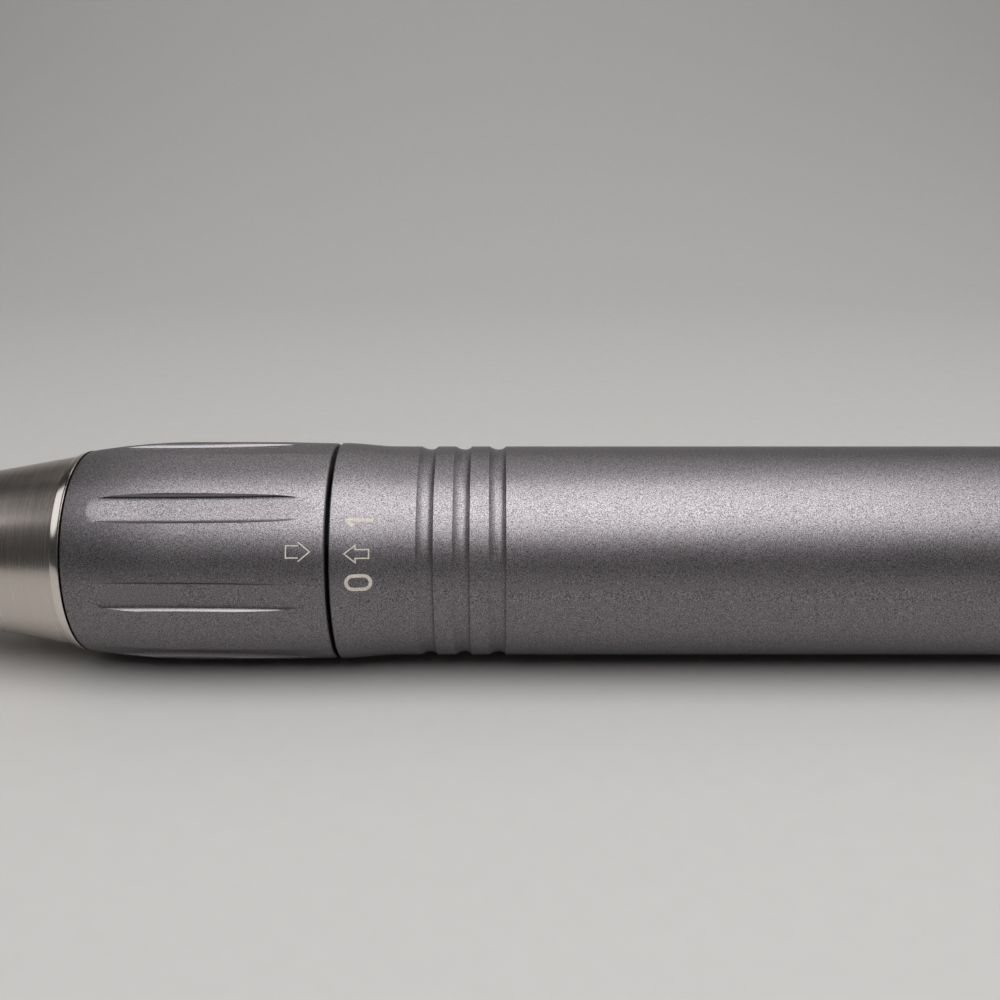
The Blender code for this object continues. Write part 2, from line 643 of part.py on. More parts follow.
def make_bearing(name, front):
    """Two rings, and a cage whose pockets hold the balls."""
    rear = front + BEARING_WIDTH
    middle = front + BEARING_WIDTH / 2
    turned(
        name + "_outer_ring",
        [(front, BEARING_RADIUS), (rear, BEARING_RADIUS)],
        [
            (front, OUTER_RING_SHOULDER), *raceway(middle, OUTER_RING_SHOULDER, 1),
            (rear, OUTER_RING_SHOULDER),
        ],
        "ground steel", RING_SIDES,
    )
    turned(
        name + "_inner_ring",
        [
            (front, INNER_RING_SHOULDER), *raceway(middle, INNER_RING_SHOULDER, -1),
            (rear, INNER_RING_SHOULDER),
        ],
        [(front, BEARING_BORE_RADIUS), (rear, BEARING_BORE_RADIUS)],
        "ground steel", RING_SIDES,
    )
    cage = ring(
        name + "_balls", middle - CAGE_WIDTH / 2, middle + CAGE_WIDTH / 2,
        BALL_CIRCLE - CAGE_THICKNESS / 2, BALL_CIRCLE + CAGE_THICKNESS / 2,
        "white cage nylon", RING_SIDES,
    )
    form = bmesh.new()
    for angle in spread(BALL_COUNT):
        seat = around(angle) @ Matrix.Translation((middle, 0, BALL_CIRCLE))
        bmesh.ops.create_uvsphere(
            form, u_segments=BALL_SEGMENTS, v_segments=BALL_RINGS, radius=BALL_RADIUS, matrix=seat
        )
    combine(cage, [shape(name + "_ball_set", form)], "UNION")


# Collet release: collar, cam pins, sleeve, keys, rings and spring

def key_angles():
    """The two keys lie level with the axis."""
    return spread(KEY_COUNT, math.pi / 2)


def cam_pin_angles():
    """One pin lies under the collar's index line."""
    return spread(CAM_PIN_COUNT, INDEX_ANGLE)


def collar_outline():
    """A short lip, a swell that eases into the full radius, a straight and a slight fall."""
    lip_x = COLLAR_FRONT_X + COLLAR_LIP_LENGTH
    full_x = lip_x + COLLAR_SWELL_LENGTH
    fall_x = COLLAR_REAR_X - COLLAR_FALL_LENGTH
    points = [(COLLAR_FRONT_X, COLLAR_FRONT_RADIUS)]
    for step in range(COLLAR_SWELL_STEPS + 1):
        left = 1 - step / COLLAR_SWELL_STEPS
        points.append((full_x - COLLAR_SWELL_LENGTH * left, COLLAR_RADIUS - COLLAR_SWELL * left**2))
    points.append((fall_x, COLLAR_RADIUS))
    points.append((COLLAR_REAR_X - EDGE_CHAMFER, COLLAR_REAR_RADIUS))
    points.append((COLLAR_REAR_X, COLLAR_REAR_RADIUS - EDGE_CHAMFER))
    return points


def flute_cutter(name, angle):
    """A slot with a round front end, whose flat floor climbs slowly out of the collar."""
    half_width = FLUTE_WIDTH / 2
    front = COLLAR_FRONT_X + FLUTE_FRONT
    rear = front + FLUTE_LENGTH
    climb = (FLUTE_REAR_DEPTH_RADIUS - FLUTE_FRONT_DEPTH_RADIUS) / FLUTE_LENGTH
    height = FLUTE_DEPTH + CUT_OVERRUN
    form = bmesh.new()
    outline = [(FLUTE_LENGTH, -half_width), (FLUTE_LENGTH, half_width)]
    for step in range(FLUTE_END_STEPS + 1):
        turn = math.pi * (step / FLUTE_END_STEPS + 1 / 2)
        outline.append((half_width * (1 + math.cos(turn)), half_width * math.sin(turn)))
    floor = form.faces.new([form.verts.new((x, y, 0)) for x, y in outline])
    walls = bmesh.ops.extrude_face_region(form, geom=[floor])
    lifted = [item for item in walls["geom"] if isinstance(item, bmesh.types.BMVert)]
    bmesh.ops.translate(form, verts=lifted, vec=(0, 0, height))
    bmesh.ops.recalc_face_normals(form, faces=form.faces)
    tilt = Matrix.Rotation(-math.atan(climb), 4, "Y")
    seat = around(angle) @ Matrix.Translation((front, 0, FLUTE_FRONT_DEPTH_RADIUS)) @ tilt
    bmesh.ops.transform(form, matrix=seat, verts=form.verts)
    return shape(name, form)


def make_collar():
    """The collar runs on a land at its front and on a bronze bush at its rear."""
    land_rear = COLLAR_FRONT_X + COLLAR_LAND_LENGTH
    land_radius = HOUSING_RADIUS + RUN_GAP
    bore = [
        (COLLAR_FRONT_X, land_radius), (land_rear, land_radius),
        (land_rear, COLLAR_BORE_RADIUS), (COLLAR_REAR_X, COLLAR_BORE_RADIUS),
    ]
    collar = turned("lock_collar", collar_outline(), bore, "charcoal anodising", OUTER_SIDES)
    start = INDEX_ANGLE + math.pi / FLUTE_COUNT
    cutters = [
        flute_cutter(f"flute_{number}", angle)
        for number, angle in enumerate(spread(FLUTE_COUNT, start), 1)
    ]
    pin_x = COLLAR_FRONT_X + CAM_PIN_PLACE
    for number, angle in enumerate(cam_pin_angles(), 1):
        cutters.append(
            radial_pin(
                f"cam_pin_hole_{number}", pin_x, angle, CAM_PIN_INNER_RADIUS,
                CAM_PIN_OUTER_RADIUS + SEAT_GAP, CAM_PIN_RADIUS + SEAT_GAP,
            )
        )
        radial_pin(
            f"cam_pin_{number}", pin_x, angle, CAM_PIN_INNER_RADIUS, CAM_PIN_OUTER_RADIUS,
            CAM_PIN_RADIUS, "ground steel",
        )
    combine(collar, cutters, "DIFFERENCE")
    bush_rear = COLLAR_REAR_X - SEAT_GAP
    ring(
        "collar_bush", bush_rear - BUSH_LENGTH, bush_rear, land_radius,
        COLLAR_BORE_RADIUS - SEAT_GAP, "bronze",
    )


def cam_slot_cutter(name, angle):
    """A square section swept along the pin's path in the sleeve."""
    low = HOUSING_RADIUS
    high = COLLAR_BORE_RADIUS
    half_width = CAM_PIN_RADIUS + RUN_GAP
    end_angle = half_width / (HOUSING_RADIUS + RUN_GAP)
    sweep = LOCK_TWIST + end_angle * 2
    climb = RELEASE_TRAVEL / LOCK_TWIST
    start_x = COLLAR_FRONT_X + CAM_PIN_PLACE - end_angle * climb
    form = bmesh.new()
    corners = [(-half_width, low), (half_width, low), (half_width, high), (-half_width, high)]
    section = form.faces.new([form.verts.new((start_x + x, 0, z)) for x, z in corners])
    start = around(angle - end_angle)
    bmesh.ops.rotate(form, verts=form.verts, cent=(0, 0, 0), matrix=start.to_3x3())
    step_x = sweep * climb / CAM_SLOT_STEPS
    bmesh.ops.spin(
        form, geom=[section, *section.edges, *section.verts], cent=(0, 0, 0), axis=(1, 0, 0),
        dvec=(step_x, 0, 0), angle=sweep, steps=CAM_SLOT_STEPS, use_duplicate=False,
    )
    bmesh.ops.recalc_face_normals(form, faces=form.faces)
    return shape(name, form)


def make_release():
    """Collar pins drive the sleeve forward, and two keys carry its push through the housing."""
    sleeve_front = COLLAR_FRONT_X + RELEASE_SLEEVE_FRONT
    sleeve = ring(
        "release_sleeve", sleeve_front, sleeve_front + RELEASE_SLEEVE_LENGTH,
        HOUSING_RADIUS + RUN_GAP, COLLAR_BORE_RADIUS - RUN_GAP, "ground steel",
    )
    inner = ring(
        "release_ring", RELEASE_RING_X, RELEASE_RING_X + RELEASE_RING_LENGTH,
        RELEASE_RING_BORE_RADIUS, RELEASE_RING_RADIUS, "ground steel",
    )
    slots = [
        cam_slot_cutter(f"cam_slot_{number}", angle)
        for number, angle in enumerate(cam_pin_angles(), 1)
    ]
    pockets = []
    for number, angle in enumerate(key_angles(), 1):
        half = KEY_LENGTH / 2
        block(
            f"release_key_{number}", KEY_X - half, KEY_X + half, KEY_WIDTH,
            KEY_INNER_RADIUS, KEY_OUTER_RADIUS, angle, "ground steel",
        )
        pockets.append(
            block(
                f"key_pocket_{number}", KEY_X - half - SEAT_GAP, KEY_X + half + SEAT_GAP,
                KEY_WIDTH + SEAT_GAP * 2, KEY_INNER_RADIUS - SEAT_GAP,
                COLLAR_BORE_RADIUS + CUT_OVERRUN, angle,
            )
        )
    combine(sleeve, slots + pockets, "DIFFERENCE")
    combine(inner, pockets, "DIFFERENCE")


def make_push_ring():
    """The ring rides on the spindle and holds the ends of the cross pin."""
    push_ring = ring(
        "push_ring", PUSH_RING_X, PUSH_RING_X + PUSH_RING_LENGTH,
        SHAFT_RADIUS + RUN_GAP, PUSH_RING_RADIUS, "ground steel",
    )
    hole = radial_pin(
        "cross_pin_hole", CROSS_PIN_X, 0, -PUSH_RING_RADIUS - CUT_OVERRUN,
        PUSH_RING_RADIUS + CUT_OVERRUN, CROSS_PIN_RADIUS + SEAT_GAP,
    )
    combine(push_ring, [hole], "DIFFERENCE")
    radial_pin(
        "cross_pin", CROSS_PIN_X, 0, -CROSS_PIN_REACH, CROSS_PIN_REACH, CROSS_PIN_RADIUS,
        "ground steel",
    )
    return hole


def make_spring():
    """A coil between the spindle nut and the push ring."""
    start = NUT_X + NUT_LENGTH + RUN_GAP + SPRING_WIRE_RADIUS
    end = PUSH_RING_X - RUN_GAP - SPRING_WIRE_RADIUS
    count = SPRING_TURNS * SPRING_POINTS_PER_TURN
    curve = bpy.data.curves.new("chuck_spring", "CURVE")
    curve.dimensions = "3D"
    curve.bevel_depth = SPRING_WIRE_RADIUS
    curve.bevel_resolution = 1
    curve.use_fill_caps = True
    spline = curve.splines.new("POLY")
    spline.points.add(count)
    for number, point in enumerate(spline.points):
        share = number / count
        turn = math.tau * SPRING_TURNS * share
        across = SPRING_COIL_RADIUS * math.cos(turn)
        up = SPRING_COIL_RADIUS * math.sin(turn)
        point.co = (start + (end - start) * share, across, up, 1)
    place("chuck_spring", curve, "spring steel")


# Spindle, collet and drawbar

def make_spindle(cross_hole):
    """A hollow shaft with a taper for the collet and a slot for the cross pin."""
    front = NOSE_FRONT_X + SPINDLE_RECESS
    shoulder = FRONT_BEARING_X - SEAT_GAP
    rear = SPINDLE_COUPLING_FACE_X - SEAT_GAP
    taper_x = front + SPINDLE_TAPER_LAND
    bore_end = PUSH_RING_X + PUSH_RING_LENGTH + DRAWBAR_TAIL
    outer = [
        (front, SPINDLE_FRONT_RADIUS - EDGE_CHAMFER),
        (front + EDGE_CHAMFER, SPINDLE_FRONT_RADIUS),
        (shoulder, SPINDLE_FRONT_RADIUS),
        (shoulder, SHAFT_RADIUS),
        (rear, SHAFT_RADIUS),
        (rear, 0),
    ]
    bore = [
        (front, SPINDLE_TAPER_RADIUS),
        (taper_x, SPINDLE_TAPER_RADIUS),
        (taper_x + SPINDLE_TAPER_LENGTH, SPINDLE_BORE_RADIUS),
        (bore_end, SPINDLE_BORE_RADIUS),
        (bore_end + SPINDLE_BLIND_LENGTH, 0),
    ]
    spindle = turned_shell("spindle", outer, bore, "ground steel")
    half = CROSS_PIN_RADIUS + RUN_GAP
    slot = block(
        "cross_pin_slot", CROSS_PIN_X - RELEASE_TRAVEL - half, CROSS_PIN_X + half, half * 2,
        -SHAFT_RADIUS - CUT_OVERRUN, SHAFT_RADIUS + CUT_OVERRUN, 0,
    )
    combine(spindle, [slot], "DIFFERENCE")
    ring("spindle_nut", NUT_X, NUT_X + NUT_LENGTH, BEARING_BORE_RADIUS, NUT_RADIUS, "brass")
    make_collet()
    make_drawbar(cross_hole)


def turned_shell(name, outer, bore, finish, sides=INNER_SIDES):
    """A turned body whose blind bore and whose far end both close on the axis."""
    return turned(name, list(reversed(bore)) + outer, [], finish, sides)


def make_collet():
    """Three spring fingers behind a tapered head."""
    front = NOSE_FRONT_X + COLLET_RECESS
    rear = front + COLLET_LENGTH
    head_radius = SPINDLE_TAPER_RADIUS - RUN_GAP
    taper_x = NOSE_FRONT_X + SPINDLE_RECESS + SPINDLE_TAPER_LAND
    outer = [
        (front, head_radius),
        (taper_x - RUN_GAP, head_radius),
        (taper_x + SPINDLE_TAPER_LENGTH - RUN_GAP, COLLET_RADIUS),
        (rear, COLLET_RADIUS),
        (rear, COLLET_SPIGOT_RADIUS),
        (rear + COLLET_SPIGOT_LENGTH, COLLET_SPIGOT_RADIUS),
        (rear + COLLET_SPIGOT_LENGTH, 0),
    ]
    bore_end = front + COLLET_BORE_LENGTH
    bore = [
        (front, COLLET_BORE_RADIUS + EDGE_CHAMFER),
        (front + EDGE_CHAMFER, COLLET_BORE_RADIUS),
        (bore_end, COLLET_BORE_RADIUS),
        (bore_end + COLLET_BORE_RADIUS / 2, 0),
    ]
    collet = turned_shell("collet", outer, bore, "ground steel")
    slits = [
        block(
            f"collet_slit_{number}", front - CUT_OVERRUN, front + SLIT_LENGTH, SLIT_WIDTH,
            0, head_radius + CUT_OVERRUN, angle,
        )
        for number, angle in enumerate(spread(SLIT_COUNT), 1)
    ]
    combine(collet, slits, "DIFFERENCE")


def make_drawbar(cross_hole):
    """It screws on to the collet's spigot and takes the cross pin."""
    front = NOSE_FRONT_X + COLLET_RECESS + COLLET_LENGTH + SEAT_GAP
    rear = CROSS_PIN_X + DRAWBAR_TAIL
    socket = COLLET_SPIGOT_RADIUS + SEAT_GAP
    socket_end = front + COLLET_SPIGOT_LENGTH
    outer = [(front, COLLET_RADIUS), (rear, COLLET_RADIUS), (rear, 0)]
    bore = [(front, socket), (socket_end, socket), (socket_end, 0)]
    drawbar = turned_shell("drawbar", outer, bore, "ground steel")
    combine(drawbar, [cross_hole], "DIFFERENCE")


# Rear spindle bearing's carrier, its washer and the coupling

def make_carrier():
    """A ring that holds the spindle's rear bearing in the housing."""
    rear = REAR_BEARING_X + BEARING_WIDTH + CARRIER_TAIL
    radius = HOUSING_BORE_RADIUS - SEAT_GAP
    lip_rear = CARRIER_X + CARRIER_LIP
    turned(
        "bearing_carrier",
        [(CARRIER_X, radius), (rear, radius)],
        [
            (CARRIER_X, CARRIER_LIP_RADIUS), (lip_rear, CARRIER_LIP_RADIUS),
            (lip_rear, SEAT_RADIUS), (rear, SEAT_RADIUS),
        ],
        "turned aluminium",
    )
    middle = CARRIER_X + CARRIER_LIP + WASHER_SPACE / 2
    washer = ring(
        "preload_washer", middle - WASHER_THICKNESS / 2, middle + WASHER_THICKNESS / 2,
        OUTER_RING_SHOULDER, BEARING_RADIUS, "spring steel",
    )
    for corner in washer.data.vertices:
        turn = math.atan2(corner.co.y, corner.co.z)
        corner.co.x += WASHER_WAVE * math.cos(WASHER_WAVES * turn)


def coupling_half(name, hub_front, face, jaw_end, angles):
    """A hub with two square jaws on one face."""
    hub = ring(
        name, hub_front, hub_front + HUB_LENGTH, BEARING_BORE_RADIUS, HUB_RADIUS,
        "turned aluminium",
    )
    inward = math.copysign(CUT_OVERRUN, face - jaw_end)
    ends = sorted((face + inward, jaw_end))
    jaws = [
        block(
            f"{name}_jaw_{number}", ends[0], ends[1], JAW_WIDTH, JAW_INNER_RADIUS,
            JAW_OUTER_RADIUS, angle,
        )
        for number, angle in enumerate(angles, 1)
    ]
    combine(hub, jaws, "UNION")


def make_coupling():
    """Two jawed hubs with a soft spider between the jaws."""
    spindle_face = SPINDLE_COUPLING_FACE_X
    motor_face = MOTOR_COUPLING_X
    coupling_half(
        "spindle_coupling", SPINDLE_COUPLING_X, spindle_face, motor_face - SEAT_GAP, spread(2)
    )
    coupling_half(
        "motor_coupling", motor_face, motor_face, spindle_face + SEAT_GAP,
        spread(2, math.pi / 2),
    )
    front = spindle_face + SEAT_GAP
    rear = motor_face - SEAT_GAP
    spider = turned(
        "coupling_spider",
        [(front, 0), (front, SPIDER_RADIUS), (rear, SPIDER_RADIUS), (rear, 0)], [],
        "orange polyurethane",
    )
    arms = [
        block(
            f"spider_arm_{number}", front, rear, SPIDER_ARM_WIDTH, -JAW_OUTER_RADIUS,
            JAW_OUTER_RADIUS, angle,
        )
        for number, angle in enumerate((math.pi / 4, -math.pi / 4), 1)
    ]
    combine(spider, arms, "UNION")


# Motor

def make_brackets():
    """Two flanged discs that centre the rotor's bearings in the case."""
    flange_radius = CASE_BORE_RADIUS - SEAT_GAP
    front = FRONT_BRACKET_X
    flange_rear = front + BRACKET_FLANGE_LENGTH
    lip_rear = front + BRACKET_LIP
    turned(
        "motor_front_bracket",
        [
            (front, flange_radius), (flange_rear, flange_radius),
            (flange_rear, BRACKET_BOSS_RADIUS), (FRONT_BRACKET_REAR_X, BRACKET_BOSS_RADIUS),
        ],
        [
            (front, BRACKET_LIP_RADIUS), (lip_rear, BRACKET_LIP_RADIUS),
            (lip_rear, SEAT_RADIUS), (FRONT_BRACKET_REAR_X, SEAT_RADIUS),
        ],
        "turned aluminium",
    )
    rear = REAR_BRACKET_X
    flange_front = rear - BRACKET_FLANGE_LENGTH
    lip_front = rear - BRACKET_LIP
    turned(
        "motor_rear_bracket",
        [
            (REAR_BRACKET_FRONT_X, BRACKET_BOSS_RADIUS), (flange_front, BRACKET_BOSS_RADIUS),
            (flange_front, flange_radius), (rear, flange_radius),
        ],
        [
            (REAR_BRACKET_FRONT_X, SEAT_RADIUS), (lip_front, SEAT_RADIUS),
            (lip_front, BRACKET_LIP_RADIUS), (rear, BRACKET_LIP_RADIUS),
        ],
        "turned aluminium",
    )


def make_motor():
    """Case, stator and winding stand still; shaft, magnet and balance rings turn."""
    ring(
        "motor_case", CASE_FRONT_X, CASE_REAR_X, CASE_BORE_RADIUS, CASE_RADIUS,
        "turned aluminium",
    )
    ring(
        "stator_core", STATOR_X, STATOR_REAR_X, STATOR_BORE_RADIUS, STATOR_RADIUS,
        "core steel",
    )
    ring(
        "winding", STATOR_X - WINDING_OVERHANG, WINDING_REAR_X, WINDING_BORE_RADIUS,
        WINDING_RADIUS, "enamelled copper",
    )
    magnet_front = STATOR_X + MAGNET_SETBACK
    magnet_rear = STATOR_REAR_X - MAGNET_SETBACK
    turned(
        "rotor_magnet", chamfered(magnet_front, magnet_rear, MAGNET_RADIUS),
        [(magnet_front, BEARING_BORE_RADIUS), (magnet_rear, BEARING_BORE_RADIUS)],
        "magnet nickel",
    )
    for name, front in (
        ("front_balance_ring", magnet_front - SEAT_GAP - BALANCE_RING_LENGTH),
        ("rear_balance_ring", magnet_rear + SEAT_GAP),
    ):
        ring(
            name, front, front + BALANCE_RING_LENGTH, BEARING_BORE_RADIUS,
            BALANCE_RING_RADIUS, "brass",
        )
    shaft_rear = REAR_BRACKET_X + SHAFT_TAIL
    turned(
        "motor_shaft",
        [
            (MOTOR_COUPLING_X + SEAT_GAP, 0),
            *chamfered(MOTOR_COUPLING_X + SEAT_GAP, shaft_rear, SHAFT_RADIUS),
            (shaft_rear, 0),
        ],
        [], "ground steel",
    )
    ring(
        "motor_board", BOARD_X, BOARD_X + BOARD_THICKNESS, BOARD_HOLE_RADIUS,
        CASE_BORE_RADIUS - SEAT_GAP, "board green",
    )


# Body sleeve, rear cap, socket and leads

def sleeve_outline():
    """The flared front, the grooves as shallow arcs, and the straight grip behind them."""
    points = [(SLEEVE_FRONT_X, SLEEVE_FLARE_RADIUS - EDGE_CHAMFER)]
    for step in range(SLEEVE_FLARE_STEPS + 1):
        share = step / SLEEVE_FLARE_STEPS
        x = SLEEVE_FRONT_X + EDGE_CHAMFER + (SLEEVE_FLARE_LENGTH - EDGE_CHAMFER) * share
        points.append((x, SLEEVE_RADIUS + SLEEVE_FLARE * (1 + math.cos(math.pi * share)) / 2))
    half = GROOVE_WIDTH / 2
    arc_radius = (half**2 + GROOVE_DEPTH**2) / (2 * GROOVE_DEPTH)
    centre_radius = SLEEVE_RADIUS - GROOVE_DEPTH + arc_radius
    spread_angle = math.asin(half / arc_radius)
    for number in range(GROOVE_COUNT):
        centre = SLEEVE_FRONT_X + GROOVE_FIRST + GROOVE_PITCH * number
        for step in range(GROOVE_STEPS + 1):
            angle = spread_angle * (2 * step / GROOVE_STEPS - 1)
            along = centre + arc_radius * math.sin(angle)
            points.append((along, centre_radius - arc_radius * math.cos(angle)))
    points.append((SLEEVE_REAR_X - EDGE_CHAMFER, SLEEVE_RADIUS))
    points.append((SLEEVE_REAR_X, SLEEVE_RADIUS - EDGE_CHAMFER))
    return points


def make_sleeve():
    """The anodised grip tube."""
    bore = [(SLEEVE_FRONT_X, SLEEVE_BORE_RADIUS), (SLEEVE_REAR_X, SLEEVE_BORE_RADIUS)]
    turned("body_sleeve", sleeve_outline(), bore, "charcoal anodising", OUTER_SIDES)


def make_cap():
    """The cap's spigot fits the sleeve, and its recess takes the plug of the motor cord."""
    spigot_radius = SLEEVE_BORE_RADIUS - SEAT_GAP
    spigot_front = CAP_FRONT_X - CAP_SPIGOT_LENGTH
    o_ring_x = CAP_FRONT_X - CAP_SPIGOT_LENGTH / 2
    taper_x = CAP_FRONT_X + CAP_SHOULDER_LENGTH
    outer = [
        (spigot_front, spigot_radius),
        *groove(o_ring_x, spigot_radius),
        (CAP_FRONT_X, spigot_radius),
        (CAP_FRONT_X, SLEEVE_RADIUS - EDGE_CHAMFER),
        (CAP_FRONT_X + EDGE_CHAMFER, SLEEVE_RADIUS),
    ]
    for step in range(CAP_TAPER_STEPS + 1):
        share = step / CAP_TAPER_STEPS
        x = taper_x + (CAP_REAR_X - CAP_EDGE - taper_x) * share
        outer.append((x, SLEEVE_RADIUS - CAP_TAPER * share**2))
    outer.append((CAP_REAR_X, CAP_FACE_RADIUS))
    pocket_end = INSERT_X + INSERT_FLANGE_LENGTH + SEAT_GAP
    pocket_radius = INSERT_FLANGE_RADIUS + SEAT_GAP
    bore = [
        (spigot_front, pocket_radius), (pocket_end, pocket_radius),
        (pocket_end, SOCKET_RADIUS), (CAP_REAR_X, SOCKET_RADIUS),
    ]
    turned("rear_cap", outer, bore, "brushed steel", OUTER_SIDES)
    o_ring("rear_o_ring", o_ring_x, spigot_radius - O_RING_RADIUS)


def make_socket():
    """A plastic insert with three contact pins, and the leads that come to them."""
    flange_rear = INSERT_X + INSERT_FLANGE_LENGTH
    insert_rear = INSERT_X + INSERT_LENGTH
    body_radius = SOCKET_RADIUS - SEAT_GAP
    insert = turned(
        "socket_insert",
        [
            (INSERT_X, 0), (INSERT_X, INSERT_FLANGE_RADIUS), (flange_rear, INSERT_FLANGE_RADIUS),
            (flange_rear, body_radius), (insert_rear, body_radius), (insert_rear, 0),
        ],
        [], "black plastic",
    )
    pin_front = INSERT_X - CONTACT_TAIL
    holes = []
    for number, angle in enumerate(spread(CONTACT_COUNT), 1):
        holes.append(
            axial_pin(
                f"contact_hole_{number}", INSERT_X - CUT_OVERRUN, insert_rear + CUT_OVERRUN,
                CONTACT_CIRCLE, angle, CONTACT_RADIUS + SEAT_GAP,
            )
        )
        axial_pin(
            f"contact_pin_{number}", pin_front, insert_rear + CONTACT_REACH, CONTACT_CIRCLE,
            angle, CONTACT_RADIUS, "gold plate",
        )
        make_lead(f"motor_lead_{number}", angle, pin_front)
    combine(insert, holes, "DIFFERENCE")


def make_lead(name, angle, pin_front):
    """A lead that runs from the motor board down to its contact pin."""
    front = BOARD_X + BOARD_THICKNESS + SEAT_GAP
    rear = pin_front - SEAT_GAP
    curve = bpy.data.curves.new(name, "CURVE")
    curve.dimensions = "3D"
    curve.bevel_depth = LEAD_RADIUS
    curve.bevel_resolution = 2
    curve.use_fill_caps = True
    spline = curve.splines.new("POLY")
    spline.points.add(LEAD_POINTS - 1)
    for number, point in enumerate(spline.points):
        share = number / (LEAD_POINTS - 1)
        ease = (1 - math.cos(math.pi * share)) / 2
        circle = LEAD_CIRCLE + (CONTACT_CIRCLE - LEAD_CIRCLE) * ease
        spot = around(angle) @ Matrix.Translation((front + (rear - front) * share, 0, circle))
        point.co = (*spot.translation, 1)
    place(name, curve, "lead sleeving")


def rest_on_floor():
    """Lift the axis so that the lowest point of the outer shells touches Z = 0."""
    lowest = min(
        corner.co.z
        for part in part_collection.objects
        if part.type == "MESH"
        for corner in part.data.vertices
    )
    axis.location.z = -lowest


make_nose()
make_housing()
make_collar()
make_release()
for bearing_name, bearing_front in (
    ("front_bearing", FRONT_BEARING_X),
    ("second_bearing", SECOND_BEARING_X),
    ("rear_bearing", REAR_BEARING_X),
    ("motor_front_bearing", MOTOR_FRONT_BEARING_X),
    ("motor_rear_bearing", MOTOR_REAR_BEARING_X),
):
    make_bearing(bearing_name, bearing_front)
make_spindle(make_push_ring())
make_spring()
make_carrier()
make_coupling()
make_brackets()
make_motor()
make_sleeve()
make_cap()
make_socket()
rest_on_floor()
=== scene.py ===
# %% [markdown]
# # Looks for a dental lab micromotor handpiece
#
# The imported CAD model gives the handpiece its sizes, its bodies and its joints. This lesson gives
# it its looks. The shells that a user sees are turned again with many more facets, the marks are
# laid on them, and every piece gets a material built from nodes.
#
# The handpiece lies along X with its nose towards -X, and it rests on Z = 0. Lengths are metres.

# %% Load the CAD frame
import math

import bmesh
import bpy
from mathutils import Matrix, Vector
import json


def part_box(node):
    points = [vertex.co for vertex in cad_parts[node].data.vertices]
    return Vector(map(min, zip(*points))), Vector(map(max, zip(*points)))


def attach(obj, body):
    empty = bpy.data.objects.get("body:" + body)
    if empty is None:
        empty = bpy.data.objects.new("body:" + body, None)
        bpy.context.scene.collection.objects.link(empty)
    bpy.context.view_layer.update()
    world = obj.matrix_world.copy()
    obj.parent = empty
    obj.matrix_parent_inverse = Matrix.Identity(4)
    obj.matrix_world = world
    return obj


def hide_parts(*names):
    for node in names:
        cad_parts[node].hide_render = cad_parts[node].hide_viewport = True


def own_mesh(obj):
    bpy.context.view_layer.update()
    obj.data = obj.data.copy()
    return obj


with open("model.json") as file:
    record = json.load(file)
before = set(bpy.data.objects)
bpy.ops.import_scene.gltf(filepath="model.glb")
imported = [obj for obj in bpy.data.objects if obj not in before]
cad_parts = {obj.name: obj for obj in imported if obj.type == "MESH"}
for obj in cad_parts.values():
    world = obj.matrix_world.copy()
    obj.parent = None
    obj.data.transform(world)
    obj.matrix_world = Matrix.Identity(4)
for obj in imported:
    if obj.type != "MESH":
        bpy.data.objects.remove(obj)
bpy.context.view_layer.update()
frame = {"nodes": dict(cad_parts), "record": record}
nodes = frame["nodes"]

# %% [markdown]
# ## The axis
#
# Every piece of a handpiece is turned on a lathe, so each one is an outline spun about one line.
# That line runs through the middle of the grip tube, which the CAD gives exactly.

# %% Find the axis
MM = 0.001
sleeve_low, sleeve_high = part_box("body_sleeve")
AXIS_Z = (sleeve_low[2] + sleeve_high[2]) / 2
AXIS = Vector((0, 0, AXIS_Z))
print("axis height", round(AXIS_Z / MM, 3), "mm")

# %% [markdown]
# ## Colours and nodes
#
# A colour is written as the hex value that an artist reads off a screen, but the renderer adds
# and multiplies light, so each one is turned to linear light first. Nodes are added by one small
# function, which takes the node's settings and, for each of its sockets, a value or a link.

# %% Turn a hex colour into linear light
def linear(hex_colour):
    channels = []
    for start in (0, 2, 4):
        value = int(hex_colour[start:start + 2], 16) / 255
        channels.append(value / 12.92 if value <= 0.04045 else ((value + 0.055) / 1.055) ** 2.4)
    return (*channels, 1)


print("mid grey", round(linear("808080")[0], 3))


# %% Add a node with its settings and links
def add(tree, kind, sockets=None, **settings):
    node = tree.nodes.new(kind)
    for name, value in settings.items():
        setattr(node, name, value)
    for socket, value in (sockets or {}).items():
        if isinstance(value, bpy.types.NodeSocket):
            tree.links.new(value, node.inputs[socket])
        else:
            node.inputs[socket].default_value = value
    return node


# %% Start a material with one shader and object coordinates
def start_material(name, constants):
    material = bpy.data.materials.new(name)
    material.use_nodes = True
    tree = material.node_tree
    shader = tree.nodes["Principled BSDF"]
    for socket, value in constants.items():
        shader.inputs[socket].default_value = value
    coordinates = add(tree, "ShaderNodeTexCoord")
    return material, tree, shader, coordinates.outputs["Object"]


# %% Name what the patterns share
NOISE_LOW, NOISE_HIGH = 0.3, 0.7  # nearly all values of a noise lie between these
MIX_FACTOR, MIX_A, MIX_B, MIX_RESULT = 0, 6, 7, 2  # the colour sockets of a Mix node
BLACK = linear("000000")
print("each noise is read from", NOISE_LOW, "to", NOISE_HIGH)

# %% [markdown]
# ## Bead-blasted, dyed anodising
#
# The collar and the grip tube are aluminium, blasted with fine glass beads and then anodised in
# a graphite dye. Blasting leaves dents of under a tenth of a millimetre, which the eye reads as
# a fine sparkle, and the dyed oxide darkens the metal without hiding its satin gloss. A fine
# noise drives the bump and the colour, and a broad one shifts the gloss a little. The walls of
# the collar's flutes were milled after the blasting, so they are smoother and catch a sharper
# light.

